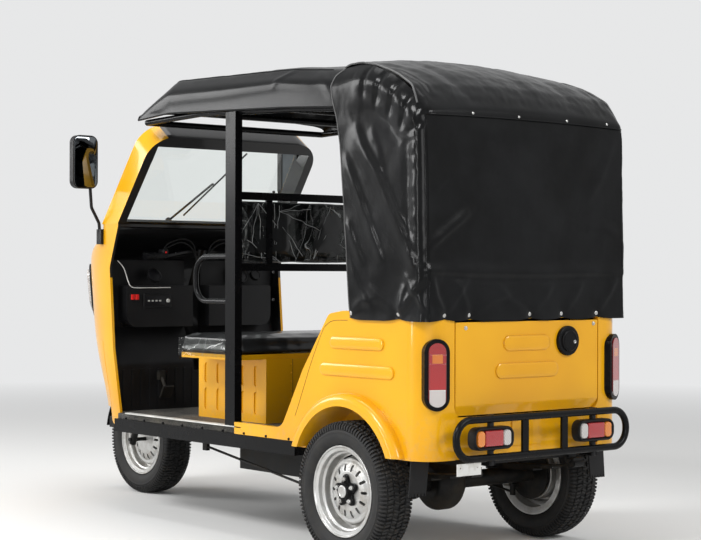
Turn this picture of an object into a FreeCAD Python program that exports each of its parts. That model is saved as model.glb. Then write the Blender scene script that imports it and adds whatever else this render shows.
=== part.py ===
import FreeCAD, Part
import math
import os

os.makedirs("parts", exist_ok=True)

# Three-wheeled passenger rickshaw, millimetres.
# Z is up and Z = 0 is the road. The nose points to -Y and the driver's left is +X.
# While the pieces are made, Y = 0 is the rear axle. The last step moves them all so
# that the origin is on the road under the middle of the whole vehicle.

# Fits and cutters
RUNNING_FIT = 0.05
SEAT_GAP = 0.3
PAST = 10.0

# Wheels and running gear
WHEELBASE = 2110.0
REAR_TRACK = 960.0
TYRE_R = 254.0
TYRE_W = 145.0
RIM_R = 166.0
RIM_LIP_W = 118.0
BEAD_IN = 8.0
BEAD_DROP = 14.0
DISC_T = 5.0
HUB_R = 62.0
HUB_FACE = 32.0
CAP_R = 20.0
CAP_OUT = 22.0
SLOTS = 14
SLOT_W = 11.0
SLOT_IN_R = 72.0
SLOT_OUT_R = 98.0
DRUM_R = 105.0
AXLE_TUBE_R = 32.0
STUB_R = 15.0
LEVER_GAP = 13.0
SPRING_HALF = 400.0
SPRING_RISE = 26.0
LEAF_T = 8.0

# Steering
RAKE_DEG = 25.0
LEG_R = 16.0
LEG_GAP = 8.3
FRONT_AXLE_R = 9.0
STEM_R = 15.0
HEAD_LOW = 335.0
HEAD_HIGH = 545.0
BAR_REACH = 960.0
BAR_HALF = 335.0
BAR_R = 11.0
BAR_SWEEP = 62.0
BAR_RISE = 16.0
GRIP_R = 16.0
GRIP_LENGTH = 120.0
LEVER_R = 4.5
LEVER_AHEAD = 34.0
GUARD_R = 275.0
GUARD_T = 5.0

# Frame and floor
RAIL_X = 260.0
RAIL_W = 40.0
RAIL_Z = 358.0
RAIL_H = 50.0
TOW_HOLE_X = 80.0
TOW_HOLE_Y = 350.0
TOW_HOLE_R = 6.5
SILL_Z = 353.0
SILL_W = 46.0
SILL_FRONT = -1620.0
SILL_BACK = -330.0
FLOOR_T = 22.0
TOE_LENGTH = 80.0
BATTERY_LOW = 232.0
BATTERY_FRONT = -1000.0
BATTERY_BACK = -480.0

# Rear body
BODY_HALF = 505.0
BODY_BACK = 410.0
BODY_LOW = 390.0
BODY_TOP = 905.0
BODY_CORNER = 95.0
BODY_WALL = 22.0
LIP_FRONT = -716.0
LIP_TOP = 454.0
TUB_FLOOR_T = 12.0
TUB_FLOOR_Y = -262.0
ARCH_R = 278.0
ARCH_Z = 284.0
FLARE_BAND = 46.0
LINER_T = 8.0
LINER_GAP = 35.5
RIB_OUT = 6.0
RIB_SINK = 4.0

# Tailgate
GATE_MARGIN = 143.0
GATE_LOW = 541.5
GATE_FOLD = 577.0
GATE_TOP = 870.0
GATE_TUCK = 14.0
GATE_GAP = 5.0
GATE_AXIS_Y = 402.0
GATE_AXIS_Z = 862.0
PIN_R = 4.0

# Front cowl and screen
COWL_HALF = 470.0
COWL_WALL = 12.0
COWL_TOP = 1257.0
COWL_OPEN_Y = -1540.0
SCREEN_LEAN_DEG = 36.0
SCREEN_BASE_Y = -1784.0
SCREEN_LENGTH = 532.0
SCREEN_TOP_HALF = 452.0
SCREEN_T = 6.7
PILLAR_W = 42.0
PILLAR_DEPTH = 104.0
REBATE_W = 12.0
REBATE_DEPTH = 16.0

# Canopy
ROOF_HALF = 509.0
ROOF_TOP_HALF = 450.0
HOOD_HALF = 520.0
HOOD_TOP_HALF = 486.0
CANOPY_T = 8.0
HEM_Z = 882.0
SEAM_Y = -60.0
CURTAIN_CORNER = 30.0

# Seats
SEAT_BOX_HALF = 300.0
SEAT_BOX_FRONT = -1265.0
SEAT_BOX_BACK = -783.0
SEAT_BOX_TOP = 692.0
SEAT_BOX_WALL = 12.0
TRAY_T = 20.0
CUSHION_FRONT = -1190.0
CUSHION_BACK = -790.0
CUSHION_T = 75.0
BENCH_TOP = 635.0
BENCH_CUSHION_T = 90.0
CUSHION_INSET = 55.0

# Door posts and canopy tubes
POST_Y = -750.0
POST_W = 66.0
POST_T = 34.0
POST_TOP = 1680.0
HOOP_R = 13.0

# Bumper
BUMPER_Y = 490.0
BUMPER_INSET = 73.0
BUMPER_LOW = 400.0
BUMPER_HIGH = 535.0
BUMPER_R = 13.0
BUMPER_LAMP_OUT = 14.0

FRONT_Y = -WHEELBASE
RAIL_TOP = RAIL_Z + RAIL_H
FLOOR_Z = RAIL_TOP + SEAT_GAP
FLOOR_TOP = FLOOR_Z + FLOOR_T
CAB_BASE = FLOOR_TOP + SEAT_GAP
RAKE = math.radians(RAKE_DEG)
LEAN = math.radians(SCREEN_LEAN_DEG)
LINER_IN = REAR_TRACK / 2 - TYRE_W / 2 - LINER_GAP
LEVER_X = LINER_IN + LEVER_GAP
FLARE_X = max(BODY_HALF + 20.0, REAR_TRACK / 2 + TYRE_W / 2 - 2.5)
GATE_HALF = BODY_HALF - GATE_MARGIN
BUMPER_HALF = BODY_HALF - BUMPER_INSET
INNER_HALF = BODY_HALF - BODY_WALL
POST_X = BODY_HALF - POST_T / 2 - 2
COWL_IN = COWL_HALF - COWL_WALL - SEAT_GAP


def point(x, y, z):
    return FreeCAD.Vector(x, y, z)


X_AXIS = point(1, 0, 0)
Y_AXIS = point(0, 1, 0)
Z_AXIS = point(0, 0, 1)
ORIGIN = point(0, 0, 0)


def box(x0, x1, y0, y1, z0, z1):
    return Part.makeBox(x1 - x0, y1 - y0, z1 - z0, point(x0, y0, z0))


def rod(start, end, radius):
    return Part.makeCylinder(radius, (end - start).Length, start, end - start)


def rounded(corners, closed=True):
    """A wire through corners, each a point and the radius that rounds it."""
    count = len(corners)
    cuts = []
    for i, (corner, radius) in enumerate(corners):
        is_end = not closed and i in (0, count - 1)
        if radius <= 0 or is_end:
            cuts.append((corner, corner, corner))
            continue
        back = (corners[i - 1][0] - corner).normalize()
        ahead = (corners[(i + 1) % count][0] - corner).normalize()
        half = back.getAngle(ahead) / 2
        reach = radius / math.tan(half)
        middle = (back + ahead).normalize() * (radius / math.sin(half) - radius)
        cuts.append((corner + back * reach, corner + middle, corner + ahead * reach))
    edges = []
    for i, (start, middle, end) in enumerate(cuts):
        if (start - end).Length > 1e-6:
            edges.append(Part.Arc(start, middle, end).toShape())
        if closed or i < count - 1:
            following = cuts[(i + 1) % count][0]
            if (following - end).Length > 1e-6:
                edges.append(Part.LineSegment(end, following).toShape())
    return Part.Wire(edges)


def tube(points, radius, bend):
    """A round bar along straight runs joined by bends."""
    path = rounded([(p, bend) for p in points], closed=False)
    ring = Part.Wire([Part.Circle(points[0], points[1] - points[0], radius).toShape()])
    return path.makePipeShell([ring], True, False, 1)


def slab(wire, direction):
    return Part.Face(wire).extrude(direction)


def side_slab(corners, x0, x1):
    """A side outline of Y, Z, radius corners, made solid from x0 to x1."""
    wire = rounded([(point(x0, y, z), r) for y, z, r in corners])
    return slab(wire, point(x1 - x0, 0, 0))


def back_slab(corners, y0, y1):
    """A rear outline of X, Z, radius corners, made solid from y0 to y1."""
    wire = rounded([(point(x, y0, z), r) for x, z, r in corners])
    return slab(wire, point(0, y1 - y0, 0))


def plan_slab(corners, z0, z1):
    """A plan outline of X, Y, radius corners, made solid from z0 to z1."""
    wire = rounded([(point(x, y, z0), r) for x, y, r in corners])
    return slab(wire, point(0, 0, z1 - z0))


def corners_of(a, b, width, height, bend):
    """The four corners, with their rounding, of a rectangle about a, b."""
    return [(a - width / 2, b - height / 2, bend), (a + width / 2, b - height / 2, bend),
            (a + width / 2, b + height / 2, bend), (a - width / 2, b + height / 2, bend)]


def stadium(a, b, width, height):
    """The corners of an outline whose short ends are round."""
    return corners_of(a, b, width, height, min(width, height) / 2 - 0.01)


def fuse(parts):
    return parts[0].multiFuse(parts[1:]).removeSplitter()


def mirrored(shape):
    return shape.mirror(ORIGIN, X_AXIS)


def pair(shape):
    return Part.makeCompound([shape, mirrored(shape)])


def spun(corners, x, y, z):
    """Corners of distance along X, radius and rounding, turned about a wheel's axis."""
    wire = rounded([(point(along, r, 0), bend) for along, r, bend in corners])
    turned = Part.Face(wire).revolve(ORIGIN, X_AXIS, 360)
    turned.translate(point(x, y, z))
    return turned


# Wheels

def tyre(x, y):
    """A tyre with a flat crown, rounded shoulders and walls, and a narrower foot in the rim."""
    half = TYRE_W / 2
    bead = RIM_LIP_W / 2 - BEAD_IN
    foot = RIM_R - BEAD_DROP
    rim = RIM_R + SEAT_GAP
    wall = [(half, RIM_R + 40, 30), (half - 6, TYRE_R - 18, 12), (half - 22, TYRE_R, 8)]
    left = [(-along, r, bend) for along, r, bend in wall]
    profile = [(-bead, foot, 0), (-bead, rim, 0)] + left + wall[::-1] + [(bead, rim, 0), (bead, foot, 0)]
    return spun(profile, x, y, TYRE_R)


def wheel_disc(bore):
    """The pressed disc: a raised ring, a ring of cooling slots and a flat round the hub."""
    well = RIM_R - BEAD_DROP - SEAT_GAP - 17
    back = HUB_FACE - 5 * DISC_T
    outline = [
        (0, well, 0), (-1, 127, 3), (3, 122, 2), (18, 119, 3), (21, 113, 4), (19, 103, 4),
        (27, 88, 8), (HUB_FACE, HUB_R + 6, 4), (HUB_FACE, bore, 0), (back, bore, 0),
        (back, HUB_R, 2), (HUB_FACE - 6, HUB_R + 7, 3), (22, 86, 6), (14, 102, 4),
        (15, 112, 3), (11, 116, 2), (-3, 119, 2), (-8, 128, 3), (-8, well, 0),
    ]
    disc = spun(outline, 0, 0, 0)
    reach = SLOT_OUT_R - SLOT_IN_R
    slot = side_slab(stadium((SLOT_IN_R + SLOT_OUT_R) / 2, 0, reach, SLOT_W), back + 1, HUB_FACE + PAST)
    slots = []
    for k in range(SLOTS):
        turned = slot.copy()
        turned.rotate(ORIGIN, X_AXIS, 360.0 * k / SLOTS)
        slots.append(turned)
    return disc.cut(Part.makeCompound(slots))


def wheel(x, y, outward, bore):
    """A stepped steel wheel with its disc and drum; outward is the side of the deep face."""
    lip = RIM_LIP_W / 2
    bead = lip - BEAD_IN + SEAT_GAP
    seat = RIM_R - BEAD_DROP - SEAT_GAP
    shell = [
        (lip, RIM_R, 1.5), (lip, RIM_R - 5, 1.5), (bead + 3, RIM_R - 8, 2), (bead, seat - 6, 3),
        (34, seat - 8, 4), (30, seat - 16, 3), (-6, seat - 19, 3), (-bead - 1, seat - 16, 3),
        (-lip, RIM_R - 5, 1.5), (-lip, RIM_R, 1.5), (-bead, RIM_R, 2), (-bead, seat, 0),
        (bead, seat, 0), (bead, RIM_R, 2),
    ]
    drum = [
        (26, bore, 0), (26, 40, 2), (4, 42, 2), (4, DRUM_R, 6), (-48, DRUM_R, 4),
        (-48, DRUM_R - 8, 2), (-4, DRUM_R - 8, 2), (-4, bore + 12, 2), (-34, bore + 12, 2),
        (-34, bore, 0),
    ]
    whole = fuse([spun(shell, 0, 0, 0), wheel_disc(bore), spun(drum, 0, 0, 0)])
    if outward < 0:
        whole = mirrored(whole)
    whole.translate(point(x, y, TYRE_R))
    return whole


def rear_wheel(side):
    """A rear wheel with the stub shaft that runs in the axle tube, and its hub cap."""
    body = wheel(side * REAR_TRACK / 2, 0, side, STUB_R)
    face = REAR_TRACK / 2 + HUB_FACE
    inner = REAR_TRACK / 2 - 150
    stub = rod(point(side * face, 0, TYRE_R), point(side * inner, 0, TYRE_R), STUB_R)
    cap = rod(point(side * (face - 2), 0, TYRE_R), point(side * (face + CAP_OUT), 0, TYRE_R), CAP_R)
    cap = cap.makeFillet(4, [cap.Edges[0]])
    return fuse([body, stub, cap])


def front_wheel():
    return wheel(0, FRONT_Y, 1, FRONT_AXLE_R + RUNNING_FIT)


CASE_X = 60.0
CASE_R = 105.0
PINION_R = 48.0
PINION_END = -150.0
AXLE_SHORT = 60.0
CAM_Y = -60.0
CAM_Z = 200.0


def rear_axle():
    """Axle tube, differential case and brake plates, bored for the stub shafts."""
    end = REAR_TRACK / 2 - AXLE_SHORT
    housing = rod(point(-end, 0, TYRE_R), point(end, 0, TYRE_R), AXLE_TUBE_R)
    case = spun([(-70, 0, 0), (-70, 70, 20), (-30, CASE_R, 30), (30, CASE_R, 30), (70, 70, 20),
                 (70, 0, 0)], CASE_X, 0, TYRE_R)
    pinion = rod(point(CASE_X, 0, TYRE_R), point(CASE_X, PINION_END, TYRE_R), PINION_R)
    plate = rod(point(end - 6, 0, TYRE_R), point(end, 0, TYRE_R), DRUM_R - 2)
    cam = rod(point(LEVER_X, CAM_Y, CAM_Z), point(end, CAM_Y, CAM_Z), 9)
    lever = box(LEVER_X - 6, LEVER_X + 6, CAM_Y - 10, CAM_Y + 10, CAM_Z - 38, CAM_Z + 6)
    ends = [plate, cam, lever]
    body = fuse([housing, case, pinion] + ends + [mirrored(piece) for piece in ends])
    near = REAR_TRACK / 2 - 151
    bore = rod(point(near, 0, TYRE_R), point(end + PAST, 0, TYRE_R), STUB_R + RUNNING_FIT)
    return body.cut(bore).cut(mirrored(bore))


def drive_motor():
    """The heavy electric motor, flanged to the nose of the differential."""
    start = point(CASE_X, PINION_END - SEAT_GAP, TYRE_R)
    return rod(start, start - Y_AXIS * 230, 82)


# half length of each leaf, longest first
LEAVES = (SPRING_HALF, 0.75 * SPRING_HALF, 0.5 * SPRING_HALF)
LEAF_W = 50.0
EYE_R = 13.0


def leaf(half, layer, x0, x1, top):
    """One leaf, bent about the centre that all leaves share; layer 0 is the top one."""
    bend_r = (SPRING_HALF ** 2 + SPRING_RISE ** 2) / (2 * SPRING_RISE)
    centre_z = top + bend_r
    rows = []
    for radius in (bend_r + layer * LEAF_T, bend_r + (layer + 1) * LEAF_T):
        drop = math.sqrt(radius ** 2 - half ** 2)
        rows.append([point(x0, y, centre_z - z) for y, z in ((-half, drop), (0, radius), (half, drop))])
    upper, lower = rows
    edges = [Part.Arc(*upper).toShape(), Part.LineSegment(upper[2], lower[2]).toShape(),
             Part.Arc(lower[2], lower[1], lower[0]).toShape(),
             Part.LineSegment(lower[0], upper[0]).toShape()]
    return slab(Part.Wire(edges), point(x1 - x0, 0, 0))


def leaf_springs():
    """Three-leaf springs from a front eye to a rear eye, one each side."""
    x0 = RAIL_X - LEAF_W / 2
    x1 = RAIL_X + LEAF_W / 2
    top = TYRE_R + AXLE_TUBE_R + SEAT_GAP + len(LEAVES) * LEAF_T
    parts = [leaf(half, layer, x0, x1, top) for layer, half in enumerate(LEAVES)]
    eye_y = SPRING_HALF + 4
    eye_z = top + SPRING_RISE
    for y in (-eye_y, eye_y):
        parts.append(rod(point(x0, y, eye_z), point(x1, y, eye_z), EYE_R))
        parts.append(box(x0, x1, y - 6, y + 6, eye_z, RAIL_Z - SEAT_GAP))
    parts.append(box(x0 - 4, x1 + 4, -45, 45, top - 4, top + 10))
    return pair(fuse(parts))


# Steering

def on_axis(along):
    """A point on the steering axis, measured up from the front axle."""
    return point(0, FRONT_Y + along * math.sin(RAKE), TYRE_R + along * math.cos(RAKE))


AXIS_UP = point(0, math.sin(RAKE), math.cos(RAKE))
AXIS_SIDE = point(0, math.cos(RAKE), -math.sin(RAKE))
CROWN_AT = TYRE_R + 40
CROWN_T = 24.0


def front_fork():
    """Axle, two legs, crown and stem, all turning about the raked steering axis."""
    leg_x = TYRE_W / 2 + LEG_GAP + LEG_R
    leg = rod(on_axis(-22) + X_AXIS * leg_x, on_axis(CROWN_AT + 14) + X_AXIS * leg_x, LEG_R)
    crown_half = leg_x + 15
    crown = Part.makeBox(2 * crown_half, 60, CROWN_T, point(-crown_half, -30, -CROWN_T / 2))
    crown.rotate(ORIGIN, X_AXIS, -RAKE_DEG)
    crown.translate(on_axis(CROWN_AT))
    stem = rod(on_axis(CROWN_AT), on_axis(BAR_REACH), STEM_R)
    axle_x = leg_x + LEG_R + 8
    axle = rod(point(-axle_x, FRONT_Y, TYRE_R), point(axle_x, FRONT_Y, TYRE_R), FRONT_AXLE_R)
    return fuse([leg, mirrored(leg), crown, stem, axle])


def front_mudguard():
    """A curved guard over the front tyre, held by the fork legs."""
    half = TYRE_W / 2 + 8
    centre = point(-half, FRONT_Y, TYRE_R)
    outer = Part.makeCylinder(GUARD_R, 2 * half, centre, X_AXIS)
    ring = outer.cut(Part.makeCylinder(GUARD_R - GUARD_T, 2 * half, centre, X_AXIS))
    reach = 1.2 * GUARD_R
    keep = side_slab([(FRONT_Y - reach, TYRE_R + 60, 0), (FRONT_Y, TYRE_R, 0),
                      (FRONT_Y + reach, TYRE_R + 130, 0), (FRONT_Y + reach, TYRE_R + 400, 0),
                      (FRONT_Y - reach, TYRE_R + 400, 0)], -half - 1, half + 1)
    return ring.common(keep)


def handlebar():
    """A swept bar with grips, hand levers and the clamp on top of the stem."""
    top = on_axis(BAR_REACH)
    centre = top + AXIS_UP * BAR_RISE
    back = AXIS_SIDE * BAR_SWEEP
    end = centre + X_AXIS * BAR_HALF + back
    knee = centre + X_AXIS * 200 + back * 0.7
    near = centre + X_AXIS * 80
    left = [near, knee, end]
    right = [point(-p.x, p.y, p.z) for p in reversed(left)]
    parts = [tube(right + left, BAR_R, 45)]
    parts.append(rod(top + AXIS_UP * SEAT_GAP, top + AXIS_UP * 34, 24))
    grip_in = centre + X_AXIS * (BAR_HALF - GRIP_LENGTH) + back * 0.74
    ahead = AXIS_SIDE * -LEVER_AHEAD
    hinge = grip_in - X_AXIS * 18
    hand = [rod(end, grip_in, GRIP_R), rod(hinge, hinge + ahead, LEVER_R + 3),
            rod(hinge + ahead, end + ahead * 1.1 - X_AXIS * 12, LEVER_R)]
    return fuse(parts + hand + [mirrored(piece) for piece in hand])


# Frame

FRAME_FRONT = SILL_FRONT - 120
FRAME_BACK = BODY_BACK - 30
CROSS_W = 40.0
HEAD_WALL = 16.0


def chassis_frame():
    """Two rails, cross members, the steering head and its braces."""
    rail = box(RAIL_X - RAIL_W / 2, RAIL_X + RAIL_W / 2, FRAME_FRONT, FRAME_BACK, RAIL_Z, RAIL_TOP)
    parts = [rail, mirrored(rail)]
    wide = BODY_HALF - SILL_W - 6
    cross_members = ((FRAME_FRONT, wide), (-1300.0, wide), (POST_Y - 20, wide), (-420.0, wide),
                     (FRAME_BACK - 50, RAIL_X))
    for y, reach in cross_members:
        parts.append(box(-reach, reach, y, y + CROSS_W, RAIL_Z + 2, RAIL_TOP - 2))
    parts.append(rod(on_axis(HEAD_LOW), on_axis(HEAD_HIGH), STEM_R + HEAD_WALL))
    for along, foot_x in ((HEAD_LOW + 60, 90), (HEAD_HIGH - 50, RAIL_X - RAIL_W)):
        brace = rod(on_axis(along) + AXIS_SIDE * 12, point(foot_x, FRAME_FRONT + 16, RAIL_Z + 22), 20)
        parts += [brace, mirrored(brace)]
    tow = rod(point(TOW_HOLE_X, TOW_HOLE_Y, RAIL_Z - PAST), point(TOW_HOLE_X, TOW_HOLE_Y, RAIL_TOP + PAST),
              TOW_HOLE_R)
    bore = rod(on_axis(HEAD_LOW - PAST), on_axis(HEAD_HIGH + PAST), STEM_R + RUNNING_FIT)
    return fuse(parts).cut(tow).cut(mirrored(tow)).cut(bore)


def floor_pan():
    """The cab floor, from the toe board to the passenger seat."""
    half = INNER_HALF - SEAT_GAP
    pan = box(-half, half, SILL_FRONT, TUB_FLOOR_Y - SEAT_GAP, FLOOR_Z, FLOOR_TOP)
    toe = box(-COWL_IN, COWL_IN, SILL_FRONT - TOE_LENGTH, SILL_FRONT, FLOOR_Z, FLOOR_TOP)
    return fuse([pan, toe])


def sills():
    outer = BODY_HALF - 4
    return pair(box(outer - SILL_W, outer, SILL_FRONT, SILL_BACK, SILL_Z, RAIL_TOP))


def battery_box():
    """The battery case, hung under the two rails."""
    half = RAIL_X + RAIL_W / 2
    case = box(-half, half, BATTERY_FRONT, BATTERY_BACK, BATTERY_LOW, RAIL_Z - SEAT_GAP)
    upright = [edge for edge in case.Edges if abs(edge.tangentAt(edge.FirstParameter).z) > 0.9]
    return case.makeFillet(14, upright)


# Rear body

def arch_cylinder(radius, x0, x1):
    return Part.makeCylinder(radius, x1 - x0, point(x0, 0, ARCH_Z), X_AXIS)


# Y, Z, length and height of each raised rib on the body's sides
SIDE_RIBS = ((43, 789, 303, 44), (41, 690, 416, 46))
# the body's side outline, clockwise from the top of its rear corner: Y, Z, rounding
SIDE_OUTLINE = (
    (BODY_BACK + PAST, BODY_TOP, 0), (-38, BODY_TOP, 60), (-120, BODY_TOP - 12, 40),
    (-277, 679, 0), (-408, LIP_TOP, 60), (LIP_FRONT, LIP_TOP, 0), (LIP_FRONT, FLOOR_Z, 0),
    (SILL_BACK + 2, FLOOR_Z, 0), (SILL_BACK + 2, BODY_LOW, 0), (BODY_BACK + PAST, BODY_LOW, 0),
)
ARCH_KEEP_TOP = 700.0
# the pressed panel between the bumper's posts
EMBOSS_Z = 468.0
EMBOSS_W = 150.0
EMBOSS_H = 92.0


def body_plan(inset):
    """The body's plan outline, open to the front, its skin moved in by inset."""
    half = BODY_HALF - inset
    back = BODY_BACK - inset
    front = LIP_FRONT - (PAST if inset > 0 else 0)
    bend = BODY_CORNER - inset
    return [(-half, front, 0), (half, front, 0), (half, back, bend), (-half, back, bend)]


def wheel_arch():
    """The left wheel housing and the raised flare round its opening."""
    liner = arch_cylinder(ARCH_R + LINER_T, LINER_IN, BODY_HALF - 2)
    liner = liner.cut(arch_cylinder(ARCH_R, LINER_IN + LINER_T, BODY_HALF + PAST))
    flare_r = ARCH_R + FLARE_BAND
    out = FLARE_X - BODY_HALF
    flare = arch_cylinder(flare_r, BODY_HALF - 6, FLARE_X)
    flare = flare.cut(arch_cylinder(ARCH_R, BODY_HALF - 7, FLARE_X + 1))
    rims = [e for e in flare.Edges if abs(e.Length - 2 * math.pi * flare_r) < 1
            and abs(e.CenterOfMass.x - FLARE_X) < 1]
    flare = flare.makeFillet(min(out * 0.62, FLARE_BAND * 0.62), rims)
    reach = FLARE_X + PAST
    keep = box(0, reach, -BODY_BACK, BODY_BACK, BODY_LOW + 6, ARCH_KEEP_TOP)
    return fuse([liner, flare]).common(keep)


def side_ribs():
    ribs = [side_slab(stadium(*rib), BODY_HALF - RIB_SINK, BODY_HALF + RIB_OUT - 1) for rib in SIDE_RIBS]
    softened = []
    for rib in ribs:
        outer = [e for e in rib.Edges if abs(e.CenterOfMass.x - BODY_HALF - RIB_OUT + 1) < 0.01]
        softened.append(rib.makeChamfer(3.0, outer))
    return softened


def gate_rod(start, end, radius):
    """A rod on the lid's hinge axis, between two distances from the lid's left edge."""
    return rod(point(GATE_HALF + start, GATE_AXIS_Y, GATE_AXIS_Z),
               point(GATE_HALF + end, GATE_AXIS_Y, GATE_AXIS_Z), radius)


def rear_body():
    """The tub behind the driver: side panels, rear panel, floor and wheel housings."""
    tub = plan_slab(body_plan(0), BODY_LOW, BODY_TOP)
    hollow = body_plan(BODY_WALL)
    tub = tub.cut(plan_slab(hollow, FLOOR_Z + TUB_FLOOR_T, BODY_TOP + PAST))
    tub = tub.cut(plan_slab(hollow, BODY_LOW - PAST, FLOOR_Z))
    tub = tub.cut(box(-INNER_HALF, INNER_HALF, LIP_FRONT - PAST, TUB_FLOOR_Y, BODY_LOW - PAST,
                      FLOOR_TOP + PAST))
    tub = tub.common(side_slab(SIDE_OUTLINE, -BODY_HALF - PAST, BODY_HALF + PAST))
    opening = arch_cylinder(ARCH_R, LINER_IN, FLARE_X + PAST)
    tub = tub.cut(opening).cut(mirrored(opening))
    additions = [wheel_arch()] + side_ribs()
    tub = fuse([tub] + additions + [mirrored(piece) for piece in additions])
    side = GATE_HALF + GATE_GAP
    low = GATE_LOW - GATE_GAP
    high = GATE_TOP + 2 * GATE_GAP
    gate_hole = back_slab([(-side, low, 40), (side, low, 40), (side, high, 0), (-side, high, 0)],
                          BODY_BACK - BODY_WALL - GATE_GAP, BODY_BACK + GATE_GAP)
    tub = tub.cut(gate_hole).cut(lower_recess())
    emboss = back_slab(corners_of(0, EMBOSS_Z, EMBOSS_W, EMBOSS_H, 10),
                       BODY_BACK - BODY_WALL + 2, BODY_BACK - GATE_TUCK + 5)
    pin = gate_rod(-18, 14, PIN_R)
    return fuse([tub, emboss, pin, mirrored(pin)])


def lower_recess():
    """What is cut from the rear panel below the lid, so that it sits back behind the bumper."""
    face = BODY_BACK - GATE_TUCK
    wedge = side_slab([(BODY_BACK + PAST, BODY_LOW - PAST, 0), (face + 8, BODY_LOW - PAST, 0),
                       (face, BODY_LOW + 40, 30), (face, GATE_LOW, 0), (BODY_BACK + PAST, GATE_LOW, 0)],
                      -GATE_HALF, GATE_HALF)
    return wedge


# X, Z and length of each raised rib on the lid
LID_RIBS = ((13, 792, 234), (10, 694, 317))
LID_RIB_H = 55.0


def tailgate():
    """The rear lid with its folded-in foot and two pressed ribs, hung on pins in its top corners."""
    back = BODY_BACK
    front = BODY_BACK - BODY_WALL
    profile = side_slab([(front, GATE_LOW, 0), (back - GATE_TUCK, GATE_LOW, 3), (back, GATE_FOLD, 25),
                         (back, GATE_TOP, 0), (front, GATE_TOP, 0)], -GATE_HALF, GATE_HALF)
    outline = back_slab([(-GATE_HALF, GATE_LOW, 36), (GATE_HALF, GATE_LOW, 36),
                         (GATE_HALF, GATE_TOP, 0), (-GATE_HALF, GATE_TOP, 0)], front, back)
    parts = [profile.common(outline)]
    for x, z, length in LID_RIBS:
        rib = back_slab(stadium(x, z, length, LID_RIB_H), back - RIB_SINK, back + RIB_OUT)
        outer = [e for e in rib.Edges if abs(e.CenterOfMass.y - back - RIB_OUT) < 0.01]
        parts.append(rib.makeChamfer(4.0, outer))
    bore = gate_rod(-19, GATE_GAP, PIN_R + RUNNING_FIT)
    return fuse(parts).cut(bore).cut(mirrored(bore))


LOCK_X = -196.0
LOCK_Z = 795.0
LOCK_R = 55.0


def lock_cap():
    """The round black cap over the lid's lock: a wide rim and a smaller domed centre."""
    start = point(LOCK_X, BODY_BACK + SEAT_GAP, LOCK_Z)
    rim = rod(start, start + Y_AXIS * 14, LOCK_R)
    centre = rod(start, start + Y_AXIS * 21, LOCK_R - 15)
    return fuse([disc.makeFillet(6, [disc.Edges[0]]) for disc in (rim, centre)])


# Rear fittings

TAIL_LAMP_X = BODY_HALF - 57
TAIL_LAMP_Y = BODY_BACK - 8
TAIL_LAMP_Z = 690.0
TAIL_LAMP_W = 94.0
TAIL_LAMP_H = 250.0
TAIL_LAMP_OUT = 16.0
TAIL_LAMP_BACK = 44.0
TAIL_LAMP_TURN_DEG = 22.0
LENS_OUT = 4.0
LENS_SEAT = 6.0
BEZEL_W = 14.0


def corner_lamp(inset, start, end):
    """A round-ended upright lamp outline, turned outward to follow the body's rear corner."""
    outline = stadium(0, 0, TAIL_LAMP_W - 2 * inset, TAIL_LAMP_H - 2 * inset)
    shape = back_slab(outline, start, end)
    shape.rotate(ORIGIN, Z_AXIS, -TAIL_LAMP_TURN_DEG)
    shape.translate(point(TAIL_LAMP_X, TAIL_LAMP_Y, TAIL_LAMP_Z))
    return shape


def tail_lamp_bezels():
    """Black lamp cases, cut to the body's skin, each with a seat for its lens."""
    skin = plan_slab(body_plan(-SEAT_GAP), BODY_LOW, BODY_TOP)
    case = corner_lamp(0, -TAIL_LAMP_BACK, TAIL_LAMP_OUT)
    seat = corner_lamp(BEZEL_W, LENS_SEAT, TAIL_LAMP_OUT + PAST)
    return pair(case.cut(seat).cut(skin))


def tail_lamp_lenses():
    return pair(corner_lamp(BEZEL_W + SEAT_GAP, LENS_SEAT + SEAT_GAP, TAIL_LAMP_OUT + LENS_OUT))


BUMPER_POST_X = 100.0
BUMPER_POST_W = 30.0
BUMPER_POST_T = 10.0
STAY_T = 15.0


def bumper():
    """A closed tube loop with two flat posts and stays to the rails."""
    height = BUMPER_HIGH - BUMPER_LOW
    middle = (BUMPER_HIGH + BUMPER_LOW) / 2
    outline = corners_of(0, middle, 2 * BUMPER_HALF, height, height / 2 - 2)
    path = rounded([(point(x, BUMPER_Y, z), bend) for x, z, bend in outline])
    run = max(path.Edges[:2], key=lambda edge: edge.Length)
    first = run.valueAt(run.FirstParameter)
    ring = Part.Wire([Part.Circle(first, run.tangentAt(run.FirstParameter), BUMPER_R).toShape()])
    loop = path.makePipeShell([ring], True, False, 1)
    post = box(BUMPER_POST_X - BUMPER_POST_W / 2, BUMPER_POST_X + BUMPER_POST_W / 2,
               BUMPER_Y - BUMPER_POST_T / 2, BUMPER_Y + BUMPER_POST_T / 2, BUMPER_LOW, BUMPER_HIGH)
    stay_top = BUMPER_LOW - BUMPER_R + 2
    stay = box(RAIL_X - STAY_T, RAIL_X + STAY_T, FRAME_BACK + SEAT_GAP, BUMPER_Y,
               stay_top - STAY_T, stay_top)
    return fuse([loop, post, mirrored(post), stay, mirrored(stay)])


BUMPER_LAMP_X = 260.0
BUMPER_LAMP_W = 192.0
BUMPER_LAMP_H = 80.0
BUMPER_LAMP_Z = (BUMPER_LOW + BUMPER_HIGH) / 2


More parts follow.
